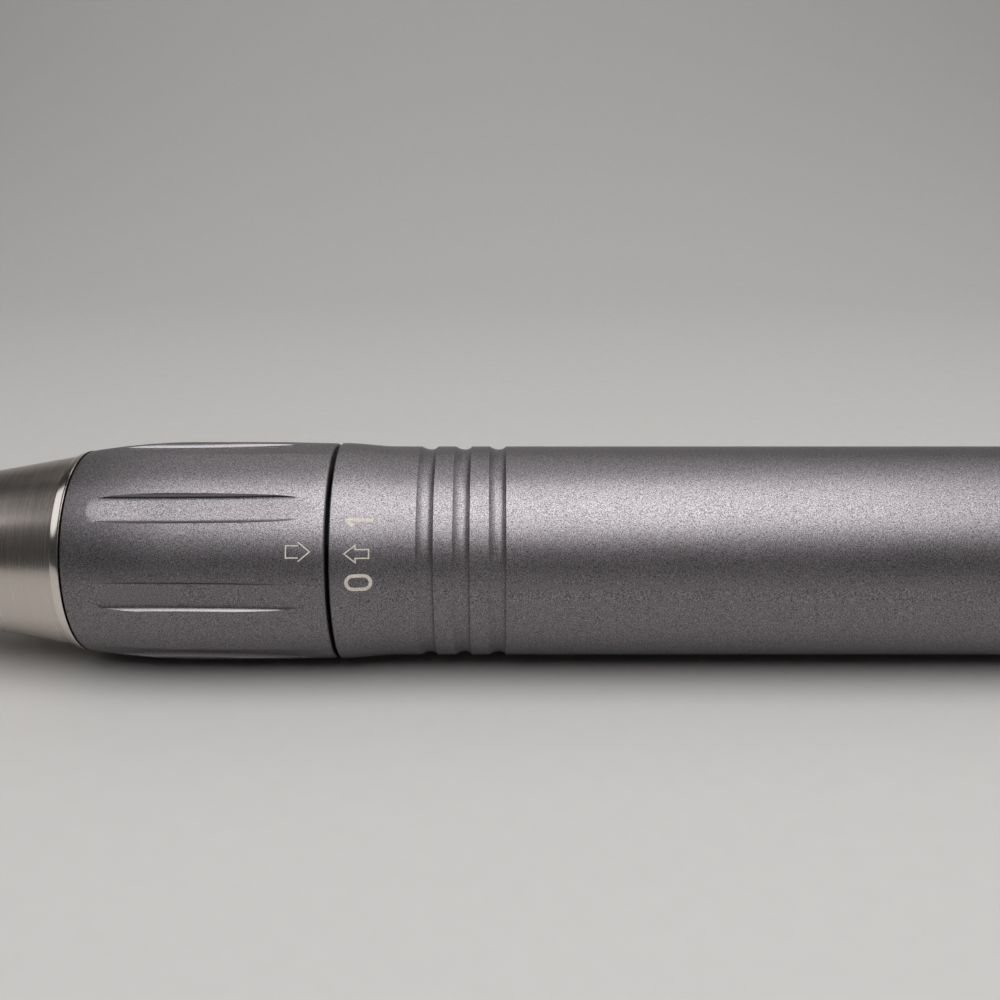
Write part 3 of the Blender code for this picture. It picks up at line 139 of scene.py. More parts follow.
# %% Graphite anodising
GRAIN = 0.12 * MM  # drawn coarser than the real dents, which are too fine to show
GLOSS_PATCH = 9 * MM
GLOSS_DRIFT = 0.02


def graphite_anodising(name, tone="7d797c", roughness=0.42, sparkle=0.68, dent=0.015 * MM):
    material, tree, shader, place = start_material(name, {"Metallic": 1})
    grain = add(tree, "ShaderNodeTexNoise", {
        "Vector": place, "Scale": 1 / GRAIN, "Detail": 1, "Roughness": 0.6,
    })
    patches = add(tree, "ShaderNodeTexNoise", {
        "Vector": place, "Scale": 1 / GLOSS_PATCH, "Detail": 2,
    })
    speckle = add(tree, "ShaderNodeMapRange", {
        "Value": grain.outputs["Fac"], "From Min": NOISE_LOW, "From Max": NOISE_HIGH,
        "To Min": 1 - sparkle, "To Max": 1 + sparkle,
    })
    tint = add(tree, "ShaderNodeMix", {
        MIX_FACTOR: speckle.outputs["Result"], MIX_A: BLACK, MIX_B: linear(tone),
    }, data_type="RGBA", clamp_factor=False)
    gloss = add(tree, "ShaderNodeMapRange", {
        "Value": patches.outputs["Fac"], "From Min": NOISE_LOW, "From Max": NOISE_HIGH,
        "To Min": roughness - GLOSS_DRIFT, "To Max": roughness + GLOSS_DRIFT,
    })
    dents = add(tree, "ShaderNodeBump", {
        "Height": grain.outputs["Fac"], "Strength": 1.0, "Distance": dent,
    })
    tree.links.new(tint.outputs[MIX_RESULT], shader.inputs["Base Color"])
    tree.links.new(gloss.outputs["Result"], shader.inputs["Roughness"])
    tree.links.new(dents.outputs["Normal"], shader.inputs["Normal"])
    return material


anodising = graphite_anodising("graphite_anodising")
milled_anodising = graphite_anodising(
    "milled_graphite_anodising", roughness=0.26, sparkle=0.12, dent=0.003 * MM,
)
print("made", anodising.name, "and", milled_anodising.name)

# %% [markdown]
# ## Turned and brushed metals
#
# A lathe tool and a strip of emery leave fine rings round the axis. The pattern is a noise that
# is squeezed along X and stretched across it, so that each line goes round the piece. The real
# lines are too fine to show, so they are drawn 0.05 or 0.06 mm wide. Stainless steel, brass,
# bronze, aluminium and nickel differ only in colour, line width and gloss.

# %% Turned metal
LINE_REACH = 14 * MM
LINE_GLOSS = 0.15  # the share by which the gloss of one line differs from the next


def turned_metal(name, tone, roughness, line=0.06 * MM, depth=0.004 * MM, contrast=0.1):
    material, tree, shader, place = start_material(name, {"Metallic": 1})
    squeeze = add(tree, "ShaderNodeMapping", {
        "Vector": place, "Scale": (1 / line, 1 / LINE_REACH, 1 / LINE_REACH),
    })
    lines = add(tree, "ShaderNodeTexNoise", {
        "Vector": squeeze.outputs["Vector"], "Scale": 1, "Detail": 4, "Roughness": 0.65,
    })
    shade = add(tree, "ShaderNodeMapRange", {
        "Value": lines.outputs["Fac"], "From Min": NOISE_LOW, "From Max": NOISE_HIGH,
        "To Min": 1 - contrast, "To Max": 1 + contrast,
    })
    tint = add(tree, "ShaderNodeMix", {
        MIX_FACTOR: shade.outputs["Result"], MIX_A: BLACK, MIX_B: linear(tone),
    }, data_type="RGBA", clamp_factor=False)
    gloss = add(tree, "ShaderNodeMapRange", {
        "Value": lines.outputs["Fac"], "From Min": NOISE_LOW, "From Max": NOISE_HIGH,
        "To Min": roughness * (1 - LINE_GLOSS), "To Max": roughness * (1 + LINE_GLOSS),
    })
    ridges = add(tree, "ShaderNodeBump", {
        "Height": lines.outputs["Fac"], "Strength": 0.6, "Distance": depth,
    })
    tree.links.new(tint.outputs[MIX_RESULT], shader.inputs["Base Color"])
    tree.links.new(gloss.outputs["Result"], shader.inputs["Roughness"])
    tree.links.new(ridges.outputs["Normal"], shader.inputs["Normal"])
    return material


brushed_steel = turned_metal(
    "brushed_stainless_steel", "cbc2bb", 0.25, line=0.05 * MM, depth=0.002 * MM, contrast=0.08,
)
polished_steel = turned_metal("polished_stainless_steel", "dbd5ce", 0.16, contrast=0.05)
ground_steel = turned_metal("ground_bearing_steel", "b4b5b8", 0.22)
spring_steel = turned_metal("oiled_spring_steel", "7d7d82", 0.3)
bronze = turned_metal("sintered_bronze", "a8763c", 0.42)
brass = turned_metal("turned_brass", "c9a257", 0.26)
gold_plate = turned_metal("hard_gold_plate", "e0b35a", 0.2, contrast=0.05)
turned_aluminium = turned_metal("bright_turned_aluminium", "c3c5c8", 0.33)
nickel_plate = turned_metal("nickel_plated_magnet", "a9a69f", 0.2, contrast=0.04)
black_oxide = turned_metal("black_oxided_steel", "26262a", 0.45)
print("made", [m.name for m in bpy.data.materials])

# %% [markdown]
# ## Materials inside the motor
#
# The core is a stack of 0.35 mm electrical steel sheets, so it shows a line at each joint. The
# winding is enamelled copper wire, laid along the axis and bent round at both ends.

# %% Stack of electrical steel sheets
SHEET = 0.35 * MM
SHEET_JOINT = 0.2  # the share of a sheet over which its dark joint brightens
SHEET_STEP = 0.02 * MM
WAVES_PER_METRE = 3.183  # of a wave texture whose scale is 1


def sheet_stack(name):
    material, tree, shader, place = start_material(name, {"Metallic": 1, "Roughness": 0.45})
    sheets = add(tree, "ShaderNodeTexWave", {
        "Vector": place, "Scale": 1 / SHEET / WAVES_PER_METRE, "Distortion": 0.0,
    }, bands_direction="X", wave_profile="SAW")
    tone = add(tree, "ShaderNodeValToRGB", {"Fac": sheets.outputs["Fac"]})
    tone.color_ramp.elements[0].color = linear("2c2c30")
    tone.color_ramp.elements[1].position = SHEET_JOINT
    tone.color_ramp.elements[1].color = linear("63636a")
    steps = add(tree, "ShaderNodeBump", {
        "Height": sheets.outputs["Fac"], "Strength": 0.5, "Distance": SHEET_STEP,
    })
    tree.links.new(tone.outputs["Color"], shader.inputs["Base Color"])
    tree.links.new(steps.outputs["Normal"], shader.inputs["Normal"])
    return material


core_steel = sheet_stack("laminated_core_steel")


# %% Enamelled copper wire
WIRE = 0.3 * MM
WIRE_LAY = 6 * MM
WIRE_RIDGE = 0.08 * MM


def wire_bundle(name):
    material, tree, shader, place = start_material(name, {
        "Metallic": 1, "Roughness": 0.28, "Coat Weight": 0.6, "Coat Roughness": 0.12,
    })
    lay = add(tree, "ShaderNodeMapping", {
        "Vector": place, "Scale": (1 / WIRE_LAY, 1 / WIRE, 1 / WIRE),
    })
    wires = add(tree, "ShaderNodeTexNoise", {
        "Vector": lay.outputs["Vector"], "Scale": 1, "Detail": 1, "Distortion": 0.4,
    })
    tone = add(tree, "ShaderNodeValToRGB", {"Fac": wires.outputs["Fac"]})
    tone.color_ramp.elements[0].position = 0.35
    tone.color_ramp.elements[0].color = linear("5a2412")
    tone.color_ramp.elements[1].position = 0.6
    tone.color_ramp.elements[1].color = linear("b5562c")
    ridges = add(tree, "ShaderNodeBump", {
        "Height": wires.outputs["Fac"], "Strength": 0.8, "Distance": WIRE_RIDGE,
    })
    tree.links.new(tone.outputs["Color"], shader.inputs["Base Color"])
    tree.links.new(ridges.outputs["Normal"], shader.inputs["Normal"])
    return material


enamelled_copper = wire_bundle("enamelled_copper_wire")
print("made", core_steel.name, enamelled_copper.name)

# %% [markdown]
# ## Rubbers and plastics
#
# Moulded parts have no metal in them. Each has a soft sheen, a faint grain from its mould and a
# little variation in colour. The same few nodes serve for all of them with other numbers.

# %% Moulded material
SKIN_GLOSS = 0.1  # the share by which the gloss of a moulded skin varies


def moulded(
    name, tone, roughness, constants, grain=0.08 * MM, depth=0.004 * MM, vary=0.12, cloud=3 * MM,
):
    material, tree, shader, place = start_material(name, constants)
    skin = add(tree, "ShaderNodeTexNoise", {"Vector": place, "Scale": 1 / grain, "Detail": 3})
    patches = add(tree, "ShaderNodeTexNoise", {"Vector": place, "Scale": 1 / cloud, "Detail": 2})
    shade = add(tree, "ShaderNodeMapRange", {
        "Value": patches.outputs["Fac"], "From Min": NOISE_LOW, "From Max": NOISE_HIGH,
        "To Min": 1 - vary, "To Max": 1 + vary,
    })
    tint = add(tree, "ShaderNodeMix", {
        MIX_FACTOR: shade.outputs["Result"], MIX_A: BLACK, MIX_B: linear(tone),
    }, data_type="RGBA", clamp_factor=False)
    gloss = add(tree, "ShaderNodeMapRange", {
        "Value": skin.outputs["Fac"], "From Min": NOISE_LOW, "From Max": NOISE_HIGH,
        "To Min": roughness * (1 - SKIN_GLOSS), "To Max": roughness * (1 + SKIN_GLOSS),
    })
    bumps = add(tree, "ShaderNodeBump", {
        "Height": skin.outputs["Fac"], "Strength": 0.5, "Distance": depth,
    })
    tree.links.new(tint.outputs[MIX_RESULT], shader.inputs["Base Color"])
    tree.links.new(gloss.outputs["Result"], shader.inputs["Roughness"])
    tree.links.new(bumps.outputs["Normal"], shader.inputs["Normal"])
    return material


nitrile = moulded("nitrile_rubber", "1b1b1c", 0.6, {"IOR": 1.52})
black_plastic = moulded("glass_filled_pbt", "1f2022", 0.42, {"IOR": 1.57})
polyurethane = moulded("cast_polyurethane", "cc5f1e", 0.35, {"IOR": 1.5, "Coat Weight": 0.2})
cage_nylon = moulded("moulded_nylon", "d9d2bf", 0.42, {"IOR": 1.53})
circuit_board = moulded("solder_masked_board", "1d5a36", 0.34, {"IOR": 1.5}, grain=0.2 * MM)
sleeving = moulded("silicone_sleeving", "8e1f1b", 0.48, {"IOR": 1.42})
etched = moulded(
    "laser_etched_oxide", "c6beb2", 0.7, {"IOR": 1.6}, grain=0.1 * MM, vary=0.3, cloud=0.14 * MM,
)
print("made", nitrile.name, "and six more moulded or etched finishes")

# %% [markdown]
# ## Turning a piece
#
# A turned piece starts as its outline: points along X at their radii, in millimetres, joined by
# edges. The corners that a lathe tool or emery would round are bevelled while the outline is
# still a wire, which is far easier than on the finished ring. The wire is then spun about the
# axis.

# %% Spin an outline about the axis
FINE_SIDES = 192
SMALL_SIDES = 96
CORNER_STEPS = 4
WELD = 0.0005 * MM
HAIR = 0.0001 * MM  # shorter edges than this are dissolved, and cuts snap to nearer corners


def outline_wire(form, points, closed):
    corners = [form.verts.new((x * MM, 0, AXIS_Z + radius * MM)) for x, radius in points]
    for first, second in zip(corners, corners[1:]):
        form.edges.new((first, second))
    if closed:
        form.edges.new((corners[-1], corners[0]))
    return corners


def spun(points, sides=FINE_SIDES, rounded=None, closed=True):
    """`rounded` maps the number of a corner to its radius in millimetres."""
    form = bmesh.new()
    corners = outline_wire(form, points, closed)
    for number, radius in (rounded or {}).items():
        bmesh.ops.bevel(
            form, geom=[corners[number]], offset=radius * MM, offset_type="OFFSET",
            segments=CORNER_STEPS, profile=0.5, affect="VERTICES", material=-1,
        )
    bmesh.ops.spin(
        form, geom=[*form.verts, *form.edges], cent=AXIS, axis=(1, 0, 0), angle=math.tau,
        steps=sides, use_merge=True,
    )
    bmesh.ops.remove_doubles(form, verts=form.verts, dist=WELD)
    bmesh.ops.dissolve_degenerate(form, edges=form.edges, dist=HAIR)
    bmesh.ops.recalc_face_normals(form, faces=form.faces)
    return form


print("an outline is spun in", FINE_SIDES, "or", SMALL_SIDES, "steps")

# %% [markdown]
# A finished bmesh becomes an object at the origin. It rides on the body of the CAD node that it
# stands for, so that it turns or slides with it.

# %% Finish a piece
SHARP_ANGLE = 28  # degrees, and edges that turn by more stay sharp
body_of_node = {
    node: body
    for body, members in frame["record"]["behaviour"]["bodies"].items()
    for node in members
}


def smooth_by_angle(mesh, sharp=SHARP_ANGLE):
    mesh.shade_smooth()
    mesh.set_sharp_from_angle(angle=math.radians(sharp))


def finish(name, form, materials, sharp=SHARP_ANGLE):
    mesh = bpy.data.meshes.new(name)
    form.to_mesh(mesh)
    form.free()
    smooth_by_angle(mesh, sharp)
    for material in materials:
        mesh.materials.append(material)
    piece = bpy.data.objects.new(name, mesh)
    bpy.context.scene.collection.objects.link(piece)
    return piece


def stand_for(piece, node):
    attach(piece, body_of_node[node])
    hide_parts(node)
    print(piece.name, len(piece.data.polygons), "faces on", body_of_node[node])


print(len(body_of_node), "nodes ride on", sorted(set(body_of_node.values())))

# %% [markdown]
# ## Nose cone
#
# The nose is stainless steel, turned with a bow near its tip and brushed while it spun. At its
# rear a narrow ring was left standing and polished, and it catches the light as a bright line.
# A ready-made cone has straight sides and no bore, so the whole section is spun from an outline
# instead, and the faces of the ring then take the polished finish.

# %% Turn the nose cone
NOSE_TIP, NOSE_TIP_RADIUS = -79.4, 6.4
NOSE_BEND, NOSE_BEND_RADIUS = -64.9, 10.4  # the cone is straight from here to its ring
NOSE_RING, NOSE_RING_RADIUS = -53.9, 12.35
NOSE_STEPS = 16


def nose_points():
    slope = (NOSE_RING_RADIUS - NOSE_BEND_RADIUS) / (NOSE_RING - NOSE_BEND)
    reach = NOSE_BEND - NOSE_TIP
    bow = (NOSE_BEND_RADIUS - NOSE_TIP_RADIUS - slope * reach) / reach**2
    points = [(-80, 5.9)]
    for step in range(NOSE_STEPS + 1):
        back = reach * (1 - step / NOSE_STEPS)
        points.append((NOSE_BEND - back, NOSE_BEND_RADIUS - slope * back - bow * back**2))
    ring = [(NOSE_RING, NOSE_RING_RADIUS), (NOSE_RING, 12.6), (-52.92, 12.94), (-52.75, 12.94)]
    bore = [
        (-52.75, 10.65), (-55.8, 10.65), (-55.8, 9.45), (-65.8, 9.45), (-65.8, 7.95),
        (-71.8, 7.95), (-71.8, 5.5), (-77.5, 5.5), (-77.5, 3.9), (-80, 3.9),
    ]
    return points + ring + bore


# The rounded corners are the two of the tip, two of the ring and the one behind the tip's lip.
nose = finish("nose_shell", spun(
    nose_points(), rounded={0: 0.2, 1: 0.25, 19: 0.06, 20: 0.1, 30: 0.15},
), [brushed_steel, polished_steel])

# %% Polish its ring
POLISH_FROM, POLISH_TO, POLISH_RADIUS = -53.95, -52.8, 12.3
for face in nose.data.polygons:
    face_radius = math.hypot(face.center.y, face.center.z - AXIS_Z)
    if POLISH_FROM * MM < face.center.x < POLISH_TO * MM and face_radius > POLISH_RADIUS * MM:
        face.material_index = 1
stand_for(nose, "nose_cone")

# %% [markdown]
# ## Lock collar
#
# The collar swells towards its middle and carries eight flutes for the fingers. Each flute was
# milled along a shallow arc with a cutter whose corners are rounded. Its floor is nearly flat
# across, and it is deep in the middle and fades at both ends. The collar is spun first. A solid
# in the shape of the mill's path is then taken out of it eight times, which leaves the same
# edges as the mill did.

# %% Turn the collar
CROWN, CROWN_RADIUS = -38.8, 14.07
SWELL_LENGTH = 12.9
SWELL_FALL = 1.0
SWELL_STEPS = 18


def collar_points():
    points = [(-52.5, 12.93)]
    for step in range(SWELL_STEPS + 1):
        left = 1 - step / SWELL_STEPS
        points.append((CROWN - SWELL_LENGTH * left, CROWN_RADIUS - SWELL_FALL * left**2))
    points += [(-32.4, CROWN_RADIUS), (-27, 14.05), (-24, 13.97), (-21, 13.91), (-20.86, 13.77)]
    bore = [(-20.86, 12.3), (-50.35, 12.3), (-50.35, 10.7), (-52.5, 10.7)]
    return points + bore


# The rounded corners are those of both rims, outside and in.
collar = finish("collar_shell", spun(
    collar_points(), rounded={0: 0.05, 23: 0.08, 25: 0.06, 28: 0.1},
), [anodising, milled_anodising])
print("collar before its flutes:", len(collar.data.polygons), "faces")

# %% Shape the mill's path
FLUTE_COUNT = 8
FLUTE_HALF_WIDTH = 1.2  # of the floor, and its rounded corners come on top of it
FLUTE_CORNER = 0.85
FLUTE_START = -49.4
FLUTE_END = -22.4
FLUTE_FLOOR = 13.43
FLUTE_CLIMB = 0.56 / 27
FLUTE_DIP = 0.26
FLUTE_HOLLOW = 0.07
FLUTE_HEIGHT = 2
FLUTE_SLICES = 12
WALL_TILT = math.cos(math.radians(24))  # faces that tilt by more have the milled finish


def sliced(form, normal, reach):
    for step in range(1 - FLUTE_SLICES, 2 * FLUTE_SLICES):
        bmesh.ops.bisect_plane(
            form, geom=[*form.verts, *form.edges, *form.faces], dist=HAIR,
            plane_co=Vector(normal) * reach * step / FLUTE_SLICES, plane_no=normal,
        )


def flute_plug():
    """A slot-shaped plug with a round front, its bottom edge rounded like the mill's corner."""
    half = (FLUTE_HALF_WIDTH + FLUTE_CORNER) * MM
    length = (FLUTE_END - FLUTE_START) * MM
    form = bmesh.new()
    bmesh.ops.create_circle(form, cap_ends=True, radius=half, segments=48)
    rear = [v for v in form.verts if v.co.x > -half * 0.001]
    bmesh.ops.translate(form, verts=rear, vec=(length, 0, 0))
    lifted = bmesh.ops.extrude_face_region(form, geom=form.faces[:])
    top = [v for v in lifted["geom"] if isinstance(v, bmesh.types.BMVert)]
    bmesh.ops.translate(form, verts=top, vec=(0, 0, FLUTE_HEIGHT * MM))
    bottom = [e for e in form.edges if all(v.co.z < 0.001 * MM for v in e.verts)]
    bmesh.ops.recalc_face_normals(form, faces=form.faces)
    bmesh.ops.bevel(
        form, geom=bottom, offset=FLUTE_CORNER * MM, offset_type="OFFSET", segments=9,
        profile=0.5, affect="EDGES", material=-1,
    )
    form.normal_update()
    for face in form.faces:
        face.material_index = int(abs(face.normal.z) < WALL_TILT)
    sliced(form, (1, 0, 0), length)
    sliced(form, (0, 1, 0), half)
    for vert in form.verts:
        share = min(max(vert.co.x / length, 0), 1)
        across = min(abs(vert.co.y) / half, 1)
        vert.co.z -= FLUTE_DIP * MM * 4 * share * (1 - share) + FLUTE_HOLLOW * MM * (1 - across**2)
    return form


print("a flute is", FLUTE_END - FLUTE_START, "mm long")

# %% [markdown]
# A mill or a drill takes metal away, so what it takes is made as a solid of its own and
# subtracted. The Boolean modifier does that well here, because the cutters are closed.

# %% Mill the flutes
def cut(piece, cutters):
    for cutter in cutters:
        change = piece.modifiers.new(cutter.name, "BOOLEAN")
        change.operation = "DIFFERENCE"
        change.solver = "EXACT"
        change.object = cutter
    graph = bpy.context.evaluated_depsgraph_get()
    mesh = bpy.data.meshes.new_from_object(piece.evaluated_get(graph))
    piece.modifiers.clear()
    piece.data = mesh
    smooth_by_angle(mesh)
    for cutter in cutters:
        bpy.data.objects.remove(cutter, do_unlink=True)
    print(piece.name, "has", len(mesh.polygons), "faces after", len(cutters), "cuts")


def flute_cutter(number):
    form = flute_plug()
    tilt = Matrix.Rotation(-math.atan(FLUTE_CLIMB), 4, "Y")
    turn = Matrix.Rotation(math.tau * number / FLUTE_COUNT, 4, "X")
    seat = Matrix.Translation(AXIS) @ turn
    seat = seat @ Matrix.Translation((FLUTE_START * MM, 0, FLUTE_FLOOR * MM)) @ tilt
    bmesh.ops.transform(form, matrix=seat, verts=form.verts)
    return finish(f"flute_{number}", form, [anodising, milled_anodising])


cut(collar, [flute_cutter(number) for number in range(FLUTE_COUNT)])

# %% Drill the holes of the cam pins
INDEX_ANGLE = math.radians(67.5)  # from the top to the front, where a hole and the marks sit
CAM_HOLE_RADIUS = 1.25
CAM_HOLE_DEPTH = 2.25
CAM_HOLE_X, CAM_HOLE_MIDDLE = -34, 12.125


def rod(radius, length, sides):
    """Upright, with its middle at the origin."""
    form = bmesh.new()
    bmesh.ops.create_cone(
        form, cap_ends=True, segments=sides, radius1=radius * MM, radius2=radius * MM,
        depth=length * MM,
    )
    return form


def cam_hole_cutter(angle):
    form = rod(CAM_HOLE_RADIUS, CAM_HOLE_DEPTH, sides=32)
    seat = Matrix.Translation(AXIS) @ Matrix.Rotation(angle, 4, "X")
    seat = seat @ Matrix.Translation((CAM_HOLE_X * MM, 0, CAM_HOLE_MIDDLE * MM))
    bmesh.ops.transform(form, matrix=seat, verts=form.verts)
    return finish("cam_hole", form, [])


cut(collar, [cam_hole_cutter(INDEX_ANGLE + math.tau * number / 3) for number in range(3)])
stand_for(collar, "lock_collar")

# %% [markdown]
# ## Grip tube
#
# The tube flares at its front to meet the collar and has three finger grooves, each nearly the
# arc that a round tool leaves, with its rear wall a little steeper. The rest is straight. An
# outline joins its points by straight lines, so its curves are worked out in short steps.

# %% Turn the grip tube
TUBE_FRONT = -20.35
TUBE_RADIUS = 13.5
FLARE_START, FLARE_LENGTH, FLARE_RISE = -20.2, 7.2, 0.45
GROOVE_START = 11.32
GROOVE_PITCH = 4.37
GROOVE_HALF = 1.04
GROOVE_DEPTH = 0.4
GROOVE_SKEW = 0.18
CURVE_STEPS = 12
STRAIGHT_START, STRAIGHT_END, STRAIGHT_STEPS = 0.87, 69.85, 11


def groove_points(centre):
    arc = (GROOVE_HALF**2 + GROOVE_DEPTH**2) / (2 * GROOVE_DEPTH)
    reach = math.asin(GROOVE_HALF / arc)
    points = []
    for step in range(CURVE_STEPS + 1):
        angle = reach * (2 * step / CURVE_STEPS - 1)
        rise = arc * (1 - math.cos(angle))
        skew = GROOVE_SKEW * (1 - rise / GROOVE_DEPTH)
        points.append((centre + arc * math.sin(angle) + skew, TUBE_RADIUS - GROOVE_DEPTH + rise))
    return points


def sleeve_points():
    points = [(TUBE_FRONT, 13.8)]
    for step in range(CURVE_STEPS + 1):
        share = step / CURVE_STEPS
        rise = FLARE_RISE * (1 + math.cos(math.pi * share)) / 2
        points.append((FLARE_START + FLARE_LENGTH * share, TUBE_RADIUS + rise))
    for number in range(3):
        points += groove_points(TUBE_FRONT + GROOVE_START + GROOVE_PITCH * number)
    straight = STRAIGHT_END - STRAIGHT_START
    for step in range(1, STRAIGHT_STEPS + 1):
        points.append((STRAIGHT_START + straight * step / STRAIGHT_STEPS, TUBE_RADIUS))
    return points + [(70, 13.35), (70, 11.9), (TUBE_FRONT, 11.9)]


sleeve = finish("grip_shell", spun(sleeve_points(), rounded={0: 0.05}), [anodising])
stand_for(sleeve, "body_sleeve")

# %% [markdown]
# ## Etched marks
#
# A laser has burnt the dye out of the oxide, so the marks are flush and paler than the rest. An
# arrow on the collar meets an arrow on the grip tube while the chuck is shut, and the numbers on
# the tube say which way to turn: towards 0 the chuck opens, and towards 1 it shuts. Each mark is
# drawn flat, with X along the handpiece and Y round it. It is then sliced and bent on to the
# surface, and gets a thickness, so that it is an inlay which stands a hundredth of a millimetre
# proud. An image on the surface would do too, but an inlay stays sharp from close by.

# %% Bend a flat mark on to a turned surface
MARK_PROUD = 0.01
MARK_THICKNESS = 0.04
MARK_SLICE = 0.3


def flat_mark(*polygons):
    form = bmesh.new()
    for corners in polygons:
        form.faces.new([form.verts.new((x * MM, y * MM, 0)) for x, y in corners])
    form.normal_update()
    return form


def radius_at(outline, x):
    for (x_1, r_1), (x_2, r_2) in zip(outline, outline[1:]):
        if x_1 <= x < x_2:
            return r_1 + (r_2 - r_1) * (x - x_1) / (x_2 - x_1)


def wrapped(name, form, outline, angle, node):
    """`angle` is how far round from the index line the mark sits, upwards in degrees."""
    bmesh.ops.triangulate(form, faces=form.faces)
    for axis, normal in enumerate(((1, 0, 0), (0, 1, 0))):
        low = min(vert.co[axis] for vert in form.verts)
        high = max(vert.co[axis] for vert in form.verts)
        slices = round((high - low) / (MARK_SLICE * MM))
        for step in range(1, slices):
            bmesh.ops.bisect_plane(
                form, geom=[*form.verts, *form.edges, *form.faces], dist=HAIR,
                plane_co=Vector(normal) * (low + (high - low) * step / slices), plane_no=normal,
            )
    for vert in form.verts:
        x, y = vert.co.x / MM, vert.co.y / MM
        radius = radius_at(outline, x) + MARK_PROUD
        turn = INDEX_ANGLE - math.radians(angle) - y / radius
        vert.co = AXIS + Vector((x, -radius * math.sin(turn), radius * math.cos(turn))) * MM
    form.normal_update()
    for face in form.faces:
        if face.normal.dot(face.calc_center_median() - AXIS) < 0:
            face.normal_flip()
    form.normal_update()
    bmesh.ops.solidify(form, geom=form.faces[:], thickness=MARK_THICKNESS * MM)
    heights = [
        math.hypot(v.co.y, v.co.z - AXIS_Z) / MM - radius_at(outline, v.co.x / MM)
        for v in form.verts
    ]
    print(name, "stands from", round(min(heights), 3), "to", round(max(heights), 3), "mm")
    mark = finish(name, form, [etched])
    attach(mark, body_of_node[node])
    print(name, len(mark.data.polygons), "faces")


# %% Mark the collar
tail = [
    (-23.9, 0.8), (-25.45, 0.8), (-25.45, -0.8), (-23.9, -0.8),
    (-23.9, -0.65), (-25.3, -0.65), (-25.3, 0.65), (-23.9, 0.65),
]
point = [
    (-22.43, 0), (-23.9, 1.225), (-24, 1.11), (-22.665, 0), (-24, -1.11), (-23.9, -1.225),
]
wrapped("collar_arrow", flat_mark(tail, point), collar_points(), 0.6, "lock_collar")


# %% Mark the grip tube
ARROW_STROKE = 0.14
ZERO_STROKE = 0.42
ZERO_RADIUS = 1.05
ZERO_STRETCH = 0.6  # half of its straight part
ZERO_X = -16.84


def hollowed(form, stroke):
    form.normal_update()
    rim = bmesh.ops.inset_region(
        form, faces=form.faces[:], thickness=stroke * MM, use_boundary=True, use_even_offset=True,
    )
    inside = [face for face in form.faces if face not in rim["faces"]]
    bmesh.ops.delete(form, geom=inside, context="FACES")
    return form


grip_arrow = hollowed(flat_mark([
    (-18.6, 0), (-17.1, 1.17), (-17.1, 0.59), (-15.5, 0.59), (-15.5, -0.59), (-17.1, -0.59),
    (-17.1, -1.17),
]), ARROW_STROKE)
wrapped("grip_arrow", grip_arrow, sleeve_points(), -0.45, "body_sleeve")
zero = bmesh.new()
bmesh.ops.create_circle(zero, cap_ends=True, radius=ZERO_RADIUS * MM, segments=40)
for vert in zero.verts:
    vert.co.x += math.copysign(ZERO_STRETCH * MM, vert.co.x) + ZERO_X * MM
wrapped("number_0", hollowed(zero, ZERO_STROKE), sleeve_points(), -14.9, "body_sleeve")
one = flat_mark([
    (-15.1, 0.22), (-18.4, 0.22), (-18.4, -0.2), (-17.6, -0.85), (-17.2, -0.6),
    (-17.75, -0.22), (-15.1, -0.22),
])
wrapped("number_1", one, sleeve_points(), 16.5, "body_sleeve")

# %% [markdown]
# ## Rear cap and socket
#
# The rear cap closes the tube and tapers to a flat end with a round recess. In the recess sits a
# black insert with three gold-plated pins, on to which the plug of the motor cord pushes. Cap
# and insert are spun. The pins are rods with a rounded end, and the holes round them are drilled
# into the insert as the cam holes were.

# %% Turn the rear cap
TAPER_START, TAPER_LENGTH, TAPER_FALL = 71.9, 7.6, 2.1
TAPER_STEPS = 16


def cap_points():
    points = [
        (61.8, 11.65), (65.4, 11.65), (65.4, 10.6), (66.7, 10.6), (66.7, 11.65), (70.3, 11.65),
        (70.3, 13.35), (70.45, TUBE_RADIUS),
    ]
    for step in range(TAPER_STEPS + 1):
        share = step / TAPER_STEPS
        points.append((TAPER_START + TAPER_LENGTH * share, TUBE_RADIUS - TAPER_FALL * share**2))
    return points + [(80, 10.9), (80, 6.5), (64.3, 6.5), (64.3, 7.65), (61.8, 7.65)]


# The rounded corners are the two round the flat end and the mouth of the recess.
cap = finish("cap_shell", spun(
    cap_points(), rounded={24: 0.3, 25: 0.2, 26: 0.25},
), [brushed_steel])
stand_for(cap, "rear_cap")

# %% Make the insert
PIN_CIRCLE = 4.2
PIN_HOLE_RADIUS = 0.85
PIN_HOLE_DEPTH, PIN_HOLE_MIDDLE = 12, 66
insert_outline = [
    (62.05, 0), (62.05, 7.4), (64.05, 7.4), (64.05, 6.25), (70.55, 6.25), (70.55, 0),
]
insert_form = spun(insert_outline, SMALL_SIDES, rounded={4: 0.3}, closed=False)
insert = finish("socket_face", insert_form, [black_plastic])


def lay_on_pin_circle(form, number, x):
    """Lay an upright rod along X with its middle at `x`."""
    lie = Matrix.Rotation(math.pi / 2, 4, "Y")
    bmesh.ops.transform(form, matrix=Matrix.Translation((x * MM, 0, 0)) @ lie, verts=form.verts)
    turn = Matrix.Rotation(math.tau * number / 3, 4, "X")
    seat = Matrix.Translation(AXIS) @ turn @ Matrix.Translation((0, 0, PIN_CIRCLE * MM))
    bmesh.ops.transform(form, matrix=seat, verts=form.verts)


def pin_hole(number):
    form = rod(PIN_HOLE_RADIUS, PIN_HOLE_DEPTH, sides=40)
    lay_on_pin_circle(form, number, PIN_HOLE_MIDDLE)
    return finish(f"pin_hole_{number}", form, [])


cut(insert, [pin_hole(number) for number in range(3)])
stand_for(insert, "socket_insert")

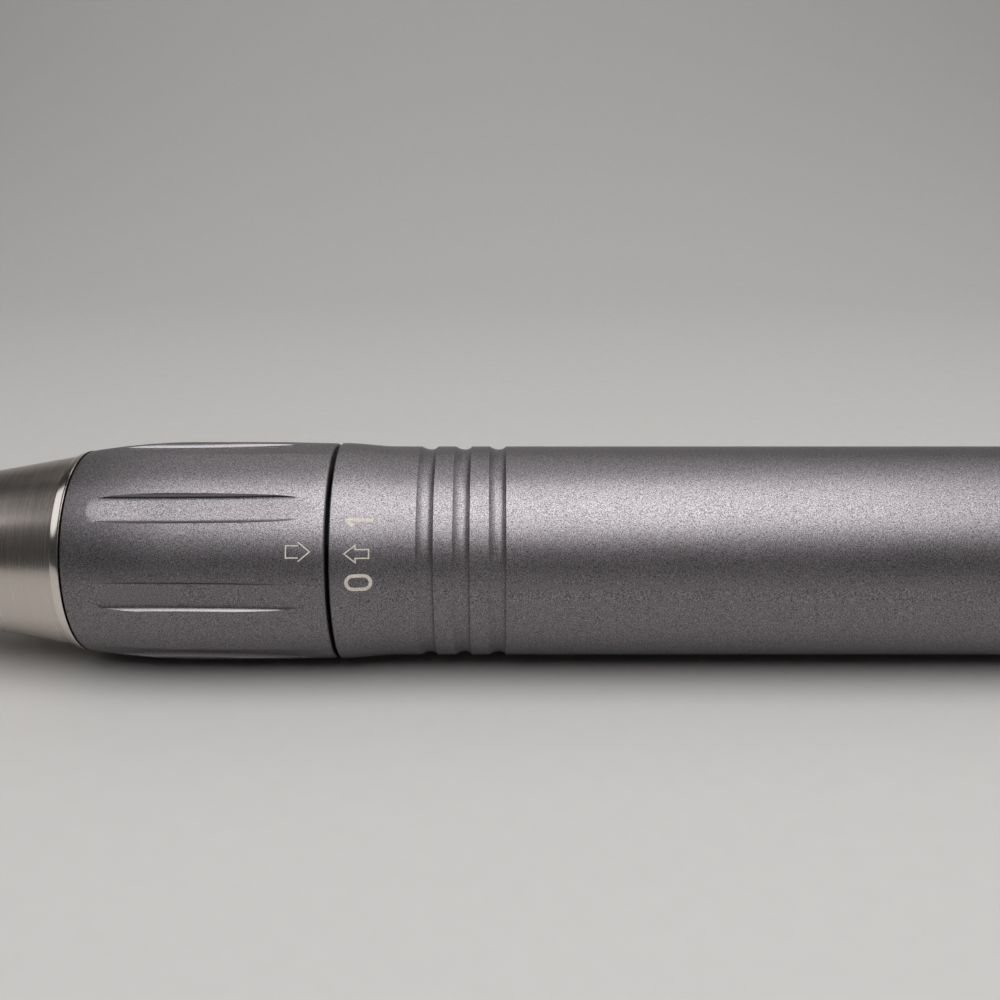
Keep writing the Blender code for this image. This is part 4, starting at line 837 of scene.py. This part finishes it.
# %% Turn the contact pins
PIN_RADIUS = 0.6
PIN_LENGTH, PIN_MIDDLE = 15.7, 68.7
PIN_ROUNDING = 0.4


def contact_pin(number):
    form = rod(PIN_RADIUS, PIN_LENGTH, sides=32)
    top = [e for e in form.edges if all(v.co.z > 0 for v in e.verts)]
    bmesh.ops.bevel(
        form, geom=top, offset=PIN_ROUNDING * MM, offset_type="OFFSET", segments=6, profile=0.5,
        affect="EDGES", material=-1,
    )
    lay_on_pin_circle(form, number, PIN_MIDDLE)
    return finish(f"plug_pin_{number + 1}", form, [gold_plate], sharp=50)


for number in range(3):
    stand_for(contact_pin(number), f"contact_pin_{number + 1}")

# %% [markdown]
# ## Spindle and collet
#
# In the nose the spindle's ground end shows as a bright ring, and in it sits the collet, whose
# three slits let it close on the shank of a bur. Both are spun. A slit is straight where all the
# rest is round, so a thin block takes it out.

# %% Turn the spindle
SLOT_HALF_WIDTH = 0.95


def block_cutter(name, low, high, turn=0.0):
    form = bmesh.new()
    bmesh.ops.create_cube(form, size=MM)
    middle = [(a + b) / 2 * MM for a, b in zip(low, high)]
    bmesh.ops.scale(form, verts=form.verts, vec=[b - a for a, b in zip(low, high)])
    bmesh.ops.translate(form, verts=form.verts, vec=middle)
    seat = Matrix.Translation(AXIS) @ Matrix.Rotation(turn, 4, "X")
    bmesh.ops.transform(form, matrix=seat, verts=form.verts)
    return finish(name, form, [])


# The rounded corners are the spindle's rear and front edges and the mouth of its bore.
spindle = finish("hollow_spindle", spun([
    (-28.1, 0), (-28.1, 3), (-71.55, 3), (-71.55, 3.6), (-79.3, 3.6), (-79.3, 2.85),
    (-78.4, 2.85), (-74.3, 2.05), (-42.4, 2.05), (-40.8, 0),
], SMALL_SIDES, rounded={1: 0.2, 4: 0.15, 5: 0.05}, closed=False), [ground_steel])
cut(spindle, [
    block_cutter("pin_slot", (-48.35, -SLOT_HALF_WIDTH, -5), (-45.35, SLOT_HALF_WIDTH, 5)),
])
stand_for(spindle, "spindle")

# %% Turn the collet
SLIT_HALF_WIDTH = 0.2
SLIT_FRONT, SLIT_REAR, SLIT_REACH = -81, -68.1, 4
collet = finish("slit_collet", spun([
    (-55.9, 0), (-55.9, 1.1), (-58.5, 1.1), (-58.5, 1.75), (-74.6, 1.75), (-78.7, 2.55),
    (-79.6, 2.55), (-79.6, 1.325), (-79.45, 1.175), (-62.1, 1.175), (-61.51, 0),
], SMALL_SIDES, rounded={6: 0.12}, closed=False), [ground_steel])
cut(collet, [
    block_cutter(
        f"slit_{number}", (SLIT_FRONT, -SLIT_HALF_WIDTH, 0),
        (SLIT_REAR, SLIT_HALF_WIDTH, SLIT_REACH), math.tau * number / 3,
    )
    for number in range(3)
])
stand_for(collet, "collet")

# %% [markdown]
# ## Chuck spring
#
# A coil of oiled wire pushes the collet shut. Its end turns lie close and are ground flat, as on
# any compression spring. The wire's section is spun about the axis with a step along it, which
# makes a helix.

# %% Wind the spring
SPRING_WIRE_RADIUS = 0.45
SPRING_WIRE_SIDES = 14
SPRING_COIL_RADIUS = 4.3
SPRING_COIL_STEPS = 32
SPRING_OPEN_TURNS = 4
CLOSE_PITCH = 2 * SPRING_WIRE_RADIUS + 0.02
spring_low, spring_high = (corner[0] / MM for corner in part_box("chuck_spring"))
spring_length = spring_high - spring_low


def wound_coil():
    form = bmesh.new()
    bmesh.ops.create_circle(form, segments=SPRING_WIRE_SIDES, radius=SPRING_WIRE_RADIUS * MM)
    seat = Matrix.Translation(AXIS + Vector((spring_low, 0, SPRING_COIL_RADIUS)) * MM)
    bmesh.ops.transform(form, matrix=seat @ Matrix.Rotation(math.pi / 2, 4, "X"), verts=form.verts)
    open_pitch = (spring_length - 2 * CLOSE_PITCH) / SPRING_OPEN_TURNS
    ring = [*form.verts, *form.edges]
    for pitch, turns in ((CLOSE_PITCH, 1), (open_pitch, SPRING_OPEN_TURNS), (CLOSE_PITCH, 1)):
        swept = bmesh.ops.spin(
            form, geom=ring, cent=AXIS, axis=(1, 0, 0),
            dvec=(pitch * MM / SPRING_COIL_STEPS, 0, 0), angle=math.tau * turns,
            steps=SPRING_COIL_STEPS * turns,
        )
        ring = swept["geom_last"]
    bmesh.ops.holes_fill(form, edges=[e for e in form.edges if e.is_boundary], sides=0)
    for x, outwards in ((spring_low, (-1, 0, 0)), (spring_high, (1, 0, 0))):
        bmesh.ops.bisect_plane(
            form, geom=[*form.verts, *form.edges, *form.faces], dist=HAIR,
            plane_co=(x * MM, 0, 0), plane_no=outwards, clear_outer=True,
        )
        rim = [e for e in form.edges if e.is_boundary]
        bmesh.ops.triangle_fill(form, edges=rim, use_beauty=True, normal=outwards)
    bmesh.ops.recalc_face_normals(form, faces=form.faces)
    print("open edges", sum(not e.is_manifold for e in form.edges))
    return form


spring = finish("wound_spring", wound_coil(), [spring_steel], sharp=40)
stand_for(spring, "chuck_spring")
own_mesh(spring)
print("spring", round(spring_length, 2), "mm long")

# %% [markdown]
# ## Finishes for the pieces inside
#
# The CAD nodes that nothing replaces keep their shape. Each takes the finish of its real
# material from the table below, by the start of its name. A table is easier to check than a line
# of code for each piece.

# %% Give every CAD node its finish
FINISH_BY_NAME = {
    "spindle_housing": black_oxide, "release": ground_steel, "cam_pin": ground_steel,
    "push_ring": ground_steel, "cross_pin": ground_steel, "drawbar": ground_steel,
    "motor_shaft": ground_steel, "spindle_nut": brass, "spindle_coupling": turned_aluminium,
    "coupling_spider": polyurethane, "motor_coupling": turned_aluminium, "spindle": ground_steel,
    "collet": ground_steel, "chuck_spring": spring_steel, "preload_washer": spring_steel,
    "collar_bush": bronze, "bearing_carrier": turned_aluminium, "motor_case": turned_aluminium,
    "motor_front_bracket": turned_aluminium, "motor_rear_bracket": turned_aluminium,
    "stator_core": core_steel, "winding": enamelled_copper, "rotor_magnet": nickel_plate,
    "front_balance": brass, "rear_balance": brass, "motor_board": circuit_board,
    "motor_lead": sleeving, "dust_seal": nitrile, "nose_o_ring": nitrile, "rear_o_ring": nitrile,
    "nose_cone": brushed_steel, "rear_cap": brushed_steel, "lock_collar": anodising,
    "body_sleeve": anodising, "socket_insert": black_plastic, "contact_pin": gold_plate,
}
for name, node in nodes.items():
    if name.endswith("_balls"):
        finish_material = cage_nylon
    elif name.endswith("bearing_outer_ring") or name.endswith("bearing_inner_ring"):
        finish_material = ground_steel
    else:
        matches = [start for start in FINISH_BY_NAME if name.startswith(start)]
        finish_material = FINISH_BY_NAME[max(matches, key=len)]
    node.data.materials.clear()
    node.data.materials.append(finish_material)
print("finished", len(nodes), "nodes")

# %% [markdown]
# ## Floor
#
# The handpiece lies on a pale floor that curves up behind it, as a roll of paper does in a
# studio. It is drawn from the side as a bent line, its corners are rounded, and the line is
# pulled out sideways.

# %% Make the floor
FLOOR_PROFILE = ((-10, 0), (0.4, 0), (0.7, 0.3), (0.7, 4))  # Y and Z in metres
FLOOR_HALF_WIDTH = 10
FLOOR_BEND = 0.18
floor_form = bmesh.new()
edge = [floor_form.verts.new((-FLOOR_HALF_WIDTH, y, z)) for y, z in FLOOR_PROFILE]
for first, second in zip(edge, edge[1:]):
    floor_form.edges.new((first, second))
bmesh.ops.bevel(
    floor_form, geom=edge[1:3], offset=FLOOR_BEND, offset_type="OFFSET", segments=12, profile=0.5,
    affect="VERTICES", material=-1,
)
side = bmesh.ops.extrude_edge_only(floor_form, edges=floor_form.edges[:])
side_verts = [v for v in side["geom"] if isinstance(v, bmesh.types.BMVert)]
bmesh.ops.translate(floor_form, verts=side_verts, vec=(2 * FLOOR_HALF_WIDTH, 0, 0))
bmesh.ops.recalc_face_normals(floor_form, faces=floor_form.faces)
floor_material = moulded("pale_paper_sweep", "b5b3b1", 0.7, {}, grain=2 * MM, vary=0.01)
floor = finish("studio_floor", floor_form, [floor_material], sharp=60)
print("floor", len(floor.data.polygons), "faces")

# %% [markdown]
# ## Lights
#
# One large soft lamp hangs above and a little in front. It draws the broad band of light along
# the tube. A second large lamp lights the sweep behind, and two smaller ones at the ends light
# the nose and the rear cap. The air of the room is brighter behind than in front, so that the
# metals show dark bands as well as light ones.

# %% Hang the lamps
def lamp(name, place, width, height, power, aim=AXIS):
    data = bpy.data.lights.new(name, "AREA")
    data.shape = "RECTANGLE"
    data.size = width
    data.size_y = height
    data.energy = power
    item = bpy.data.objects.new(name, data)
    item.location = place
    item.rotation_mode = "QUATERNION"
    item.rotation_quaternion = (Vector(aim) - Vector(place)).to_track_quat("-Z", "Y")
    bpy.context.scene.collection.objects.link(item)


lamp("overhead_softbox", (0.035, -0.161, 0.434), 0.5, 0.5, 2.95)
lamp("back_softbox", (0.05, 0.36, 0.5), 0.9, 0.42, 0.9, aim=(0, 0.25, 0))
lamp("left_softbox", (-0.473, 0, 0.29), 0.36, 0.22, 0.255)
lamp("right_softbox", (0.5, -0.08, 0.34), 0.2, 0.2, 0.25)

# %% Light the air of the room
AIR_FRONT, AIR_BACK = 0.08, 0.5
world = bpy.data.worlds.new("studio_air")
world.use_nodes = True
air = world.node_tree
toward = add(air, "ShaderNodeTexCoord")
direction = add(air, "ShaderNodeSeparateXYZ", {"Vector": toward.outputs["Generated"]})
strength = add(air, "ShaderNodeMapRange", {
    "Value": direction.outputs["Y"], "From Min": 0, "From Max": 1,
    "To Min": AIR_FRONT, "To Max": AIR_BACK,
})
air.nodes["Background"].inputs["Color"].default_value = linear("c8c8ca")
air.links.new(strength.outputs["Result"], air.nodes["Background"].inputs["Strength"])
bpy.context.scene.world = world
bpy.context.scene.view_settings.view_transform = "Standard"
print("air from", AIR_FRONT, "in front to", AIR_BACK, "behind")

# %% [markdown]
# ## Camera
#
# The camera stands where the photograph was taken from: close, a little above the handpiece, and
# aimed slightly over its axis. Its lens gives the photograph's scale at that distance.

# %% Set the camera
CAMERA_DISTANCE = 0.1501
CAMERA_RISE = math.radians(24)
CAMERA_AIM = math.radians(2.49)
CAMERA_LENS, CAMERA_SENSOR = 41.4, 36  # millimetres
camera_data = bpy.data.cameras.new("photo_view")
camera_data.lens = CAMERA_LENS
camera_data.sensor_width = CAMERA_SENSOR
camera_data.clip_start = 0.01
camera = bpy.data.objects.new("photo_view", camera_data)
camera.location = AXIS + Vector((
    0, -CAMERA_DISTANCE * math.cos(CAMERA_RISE), CAMERA_DISTANCE * math.sin(CAMERA_RISE),
))
camera.rotation_euler = (math.pi / 2 - CAMERA_RISE + CAMERA_AIM, 0, 0)
bpy.context.scene.collection.objects.link(camera)
bpy.context.scene.camera = camera
print("camera at", [round(v / MM, 1) for v in camera.location], "mm")

# %% [markdown]
# ## Last step
#
# The json module is imported here.

# %% Import json
import json
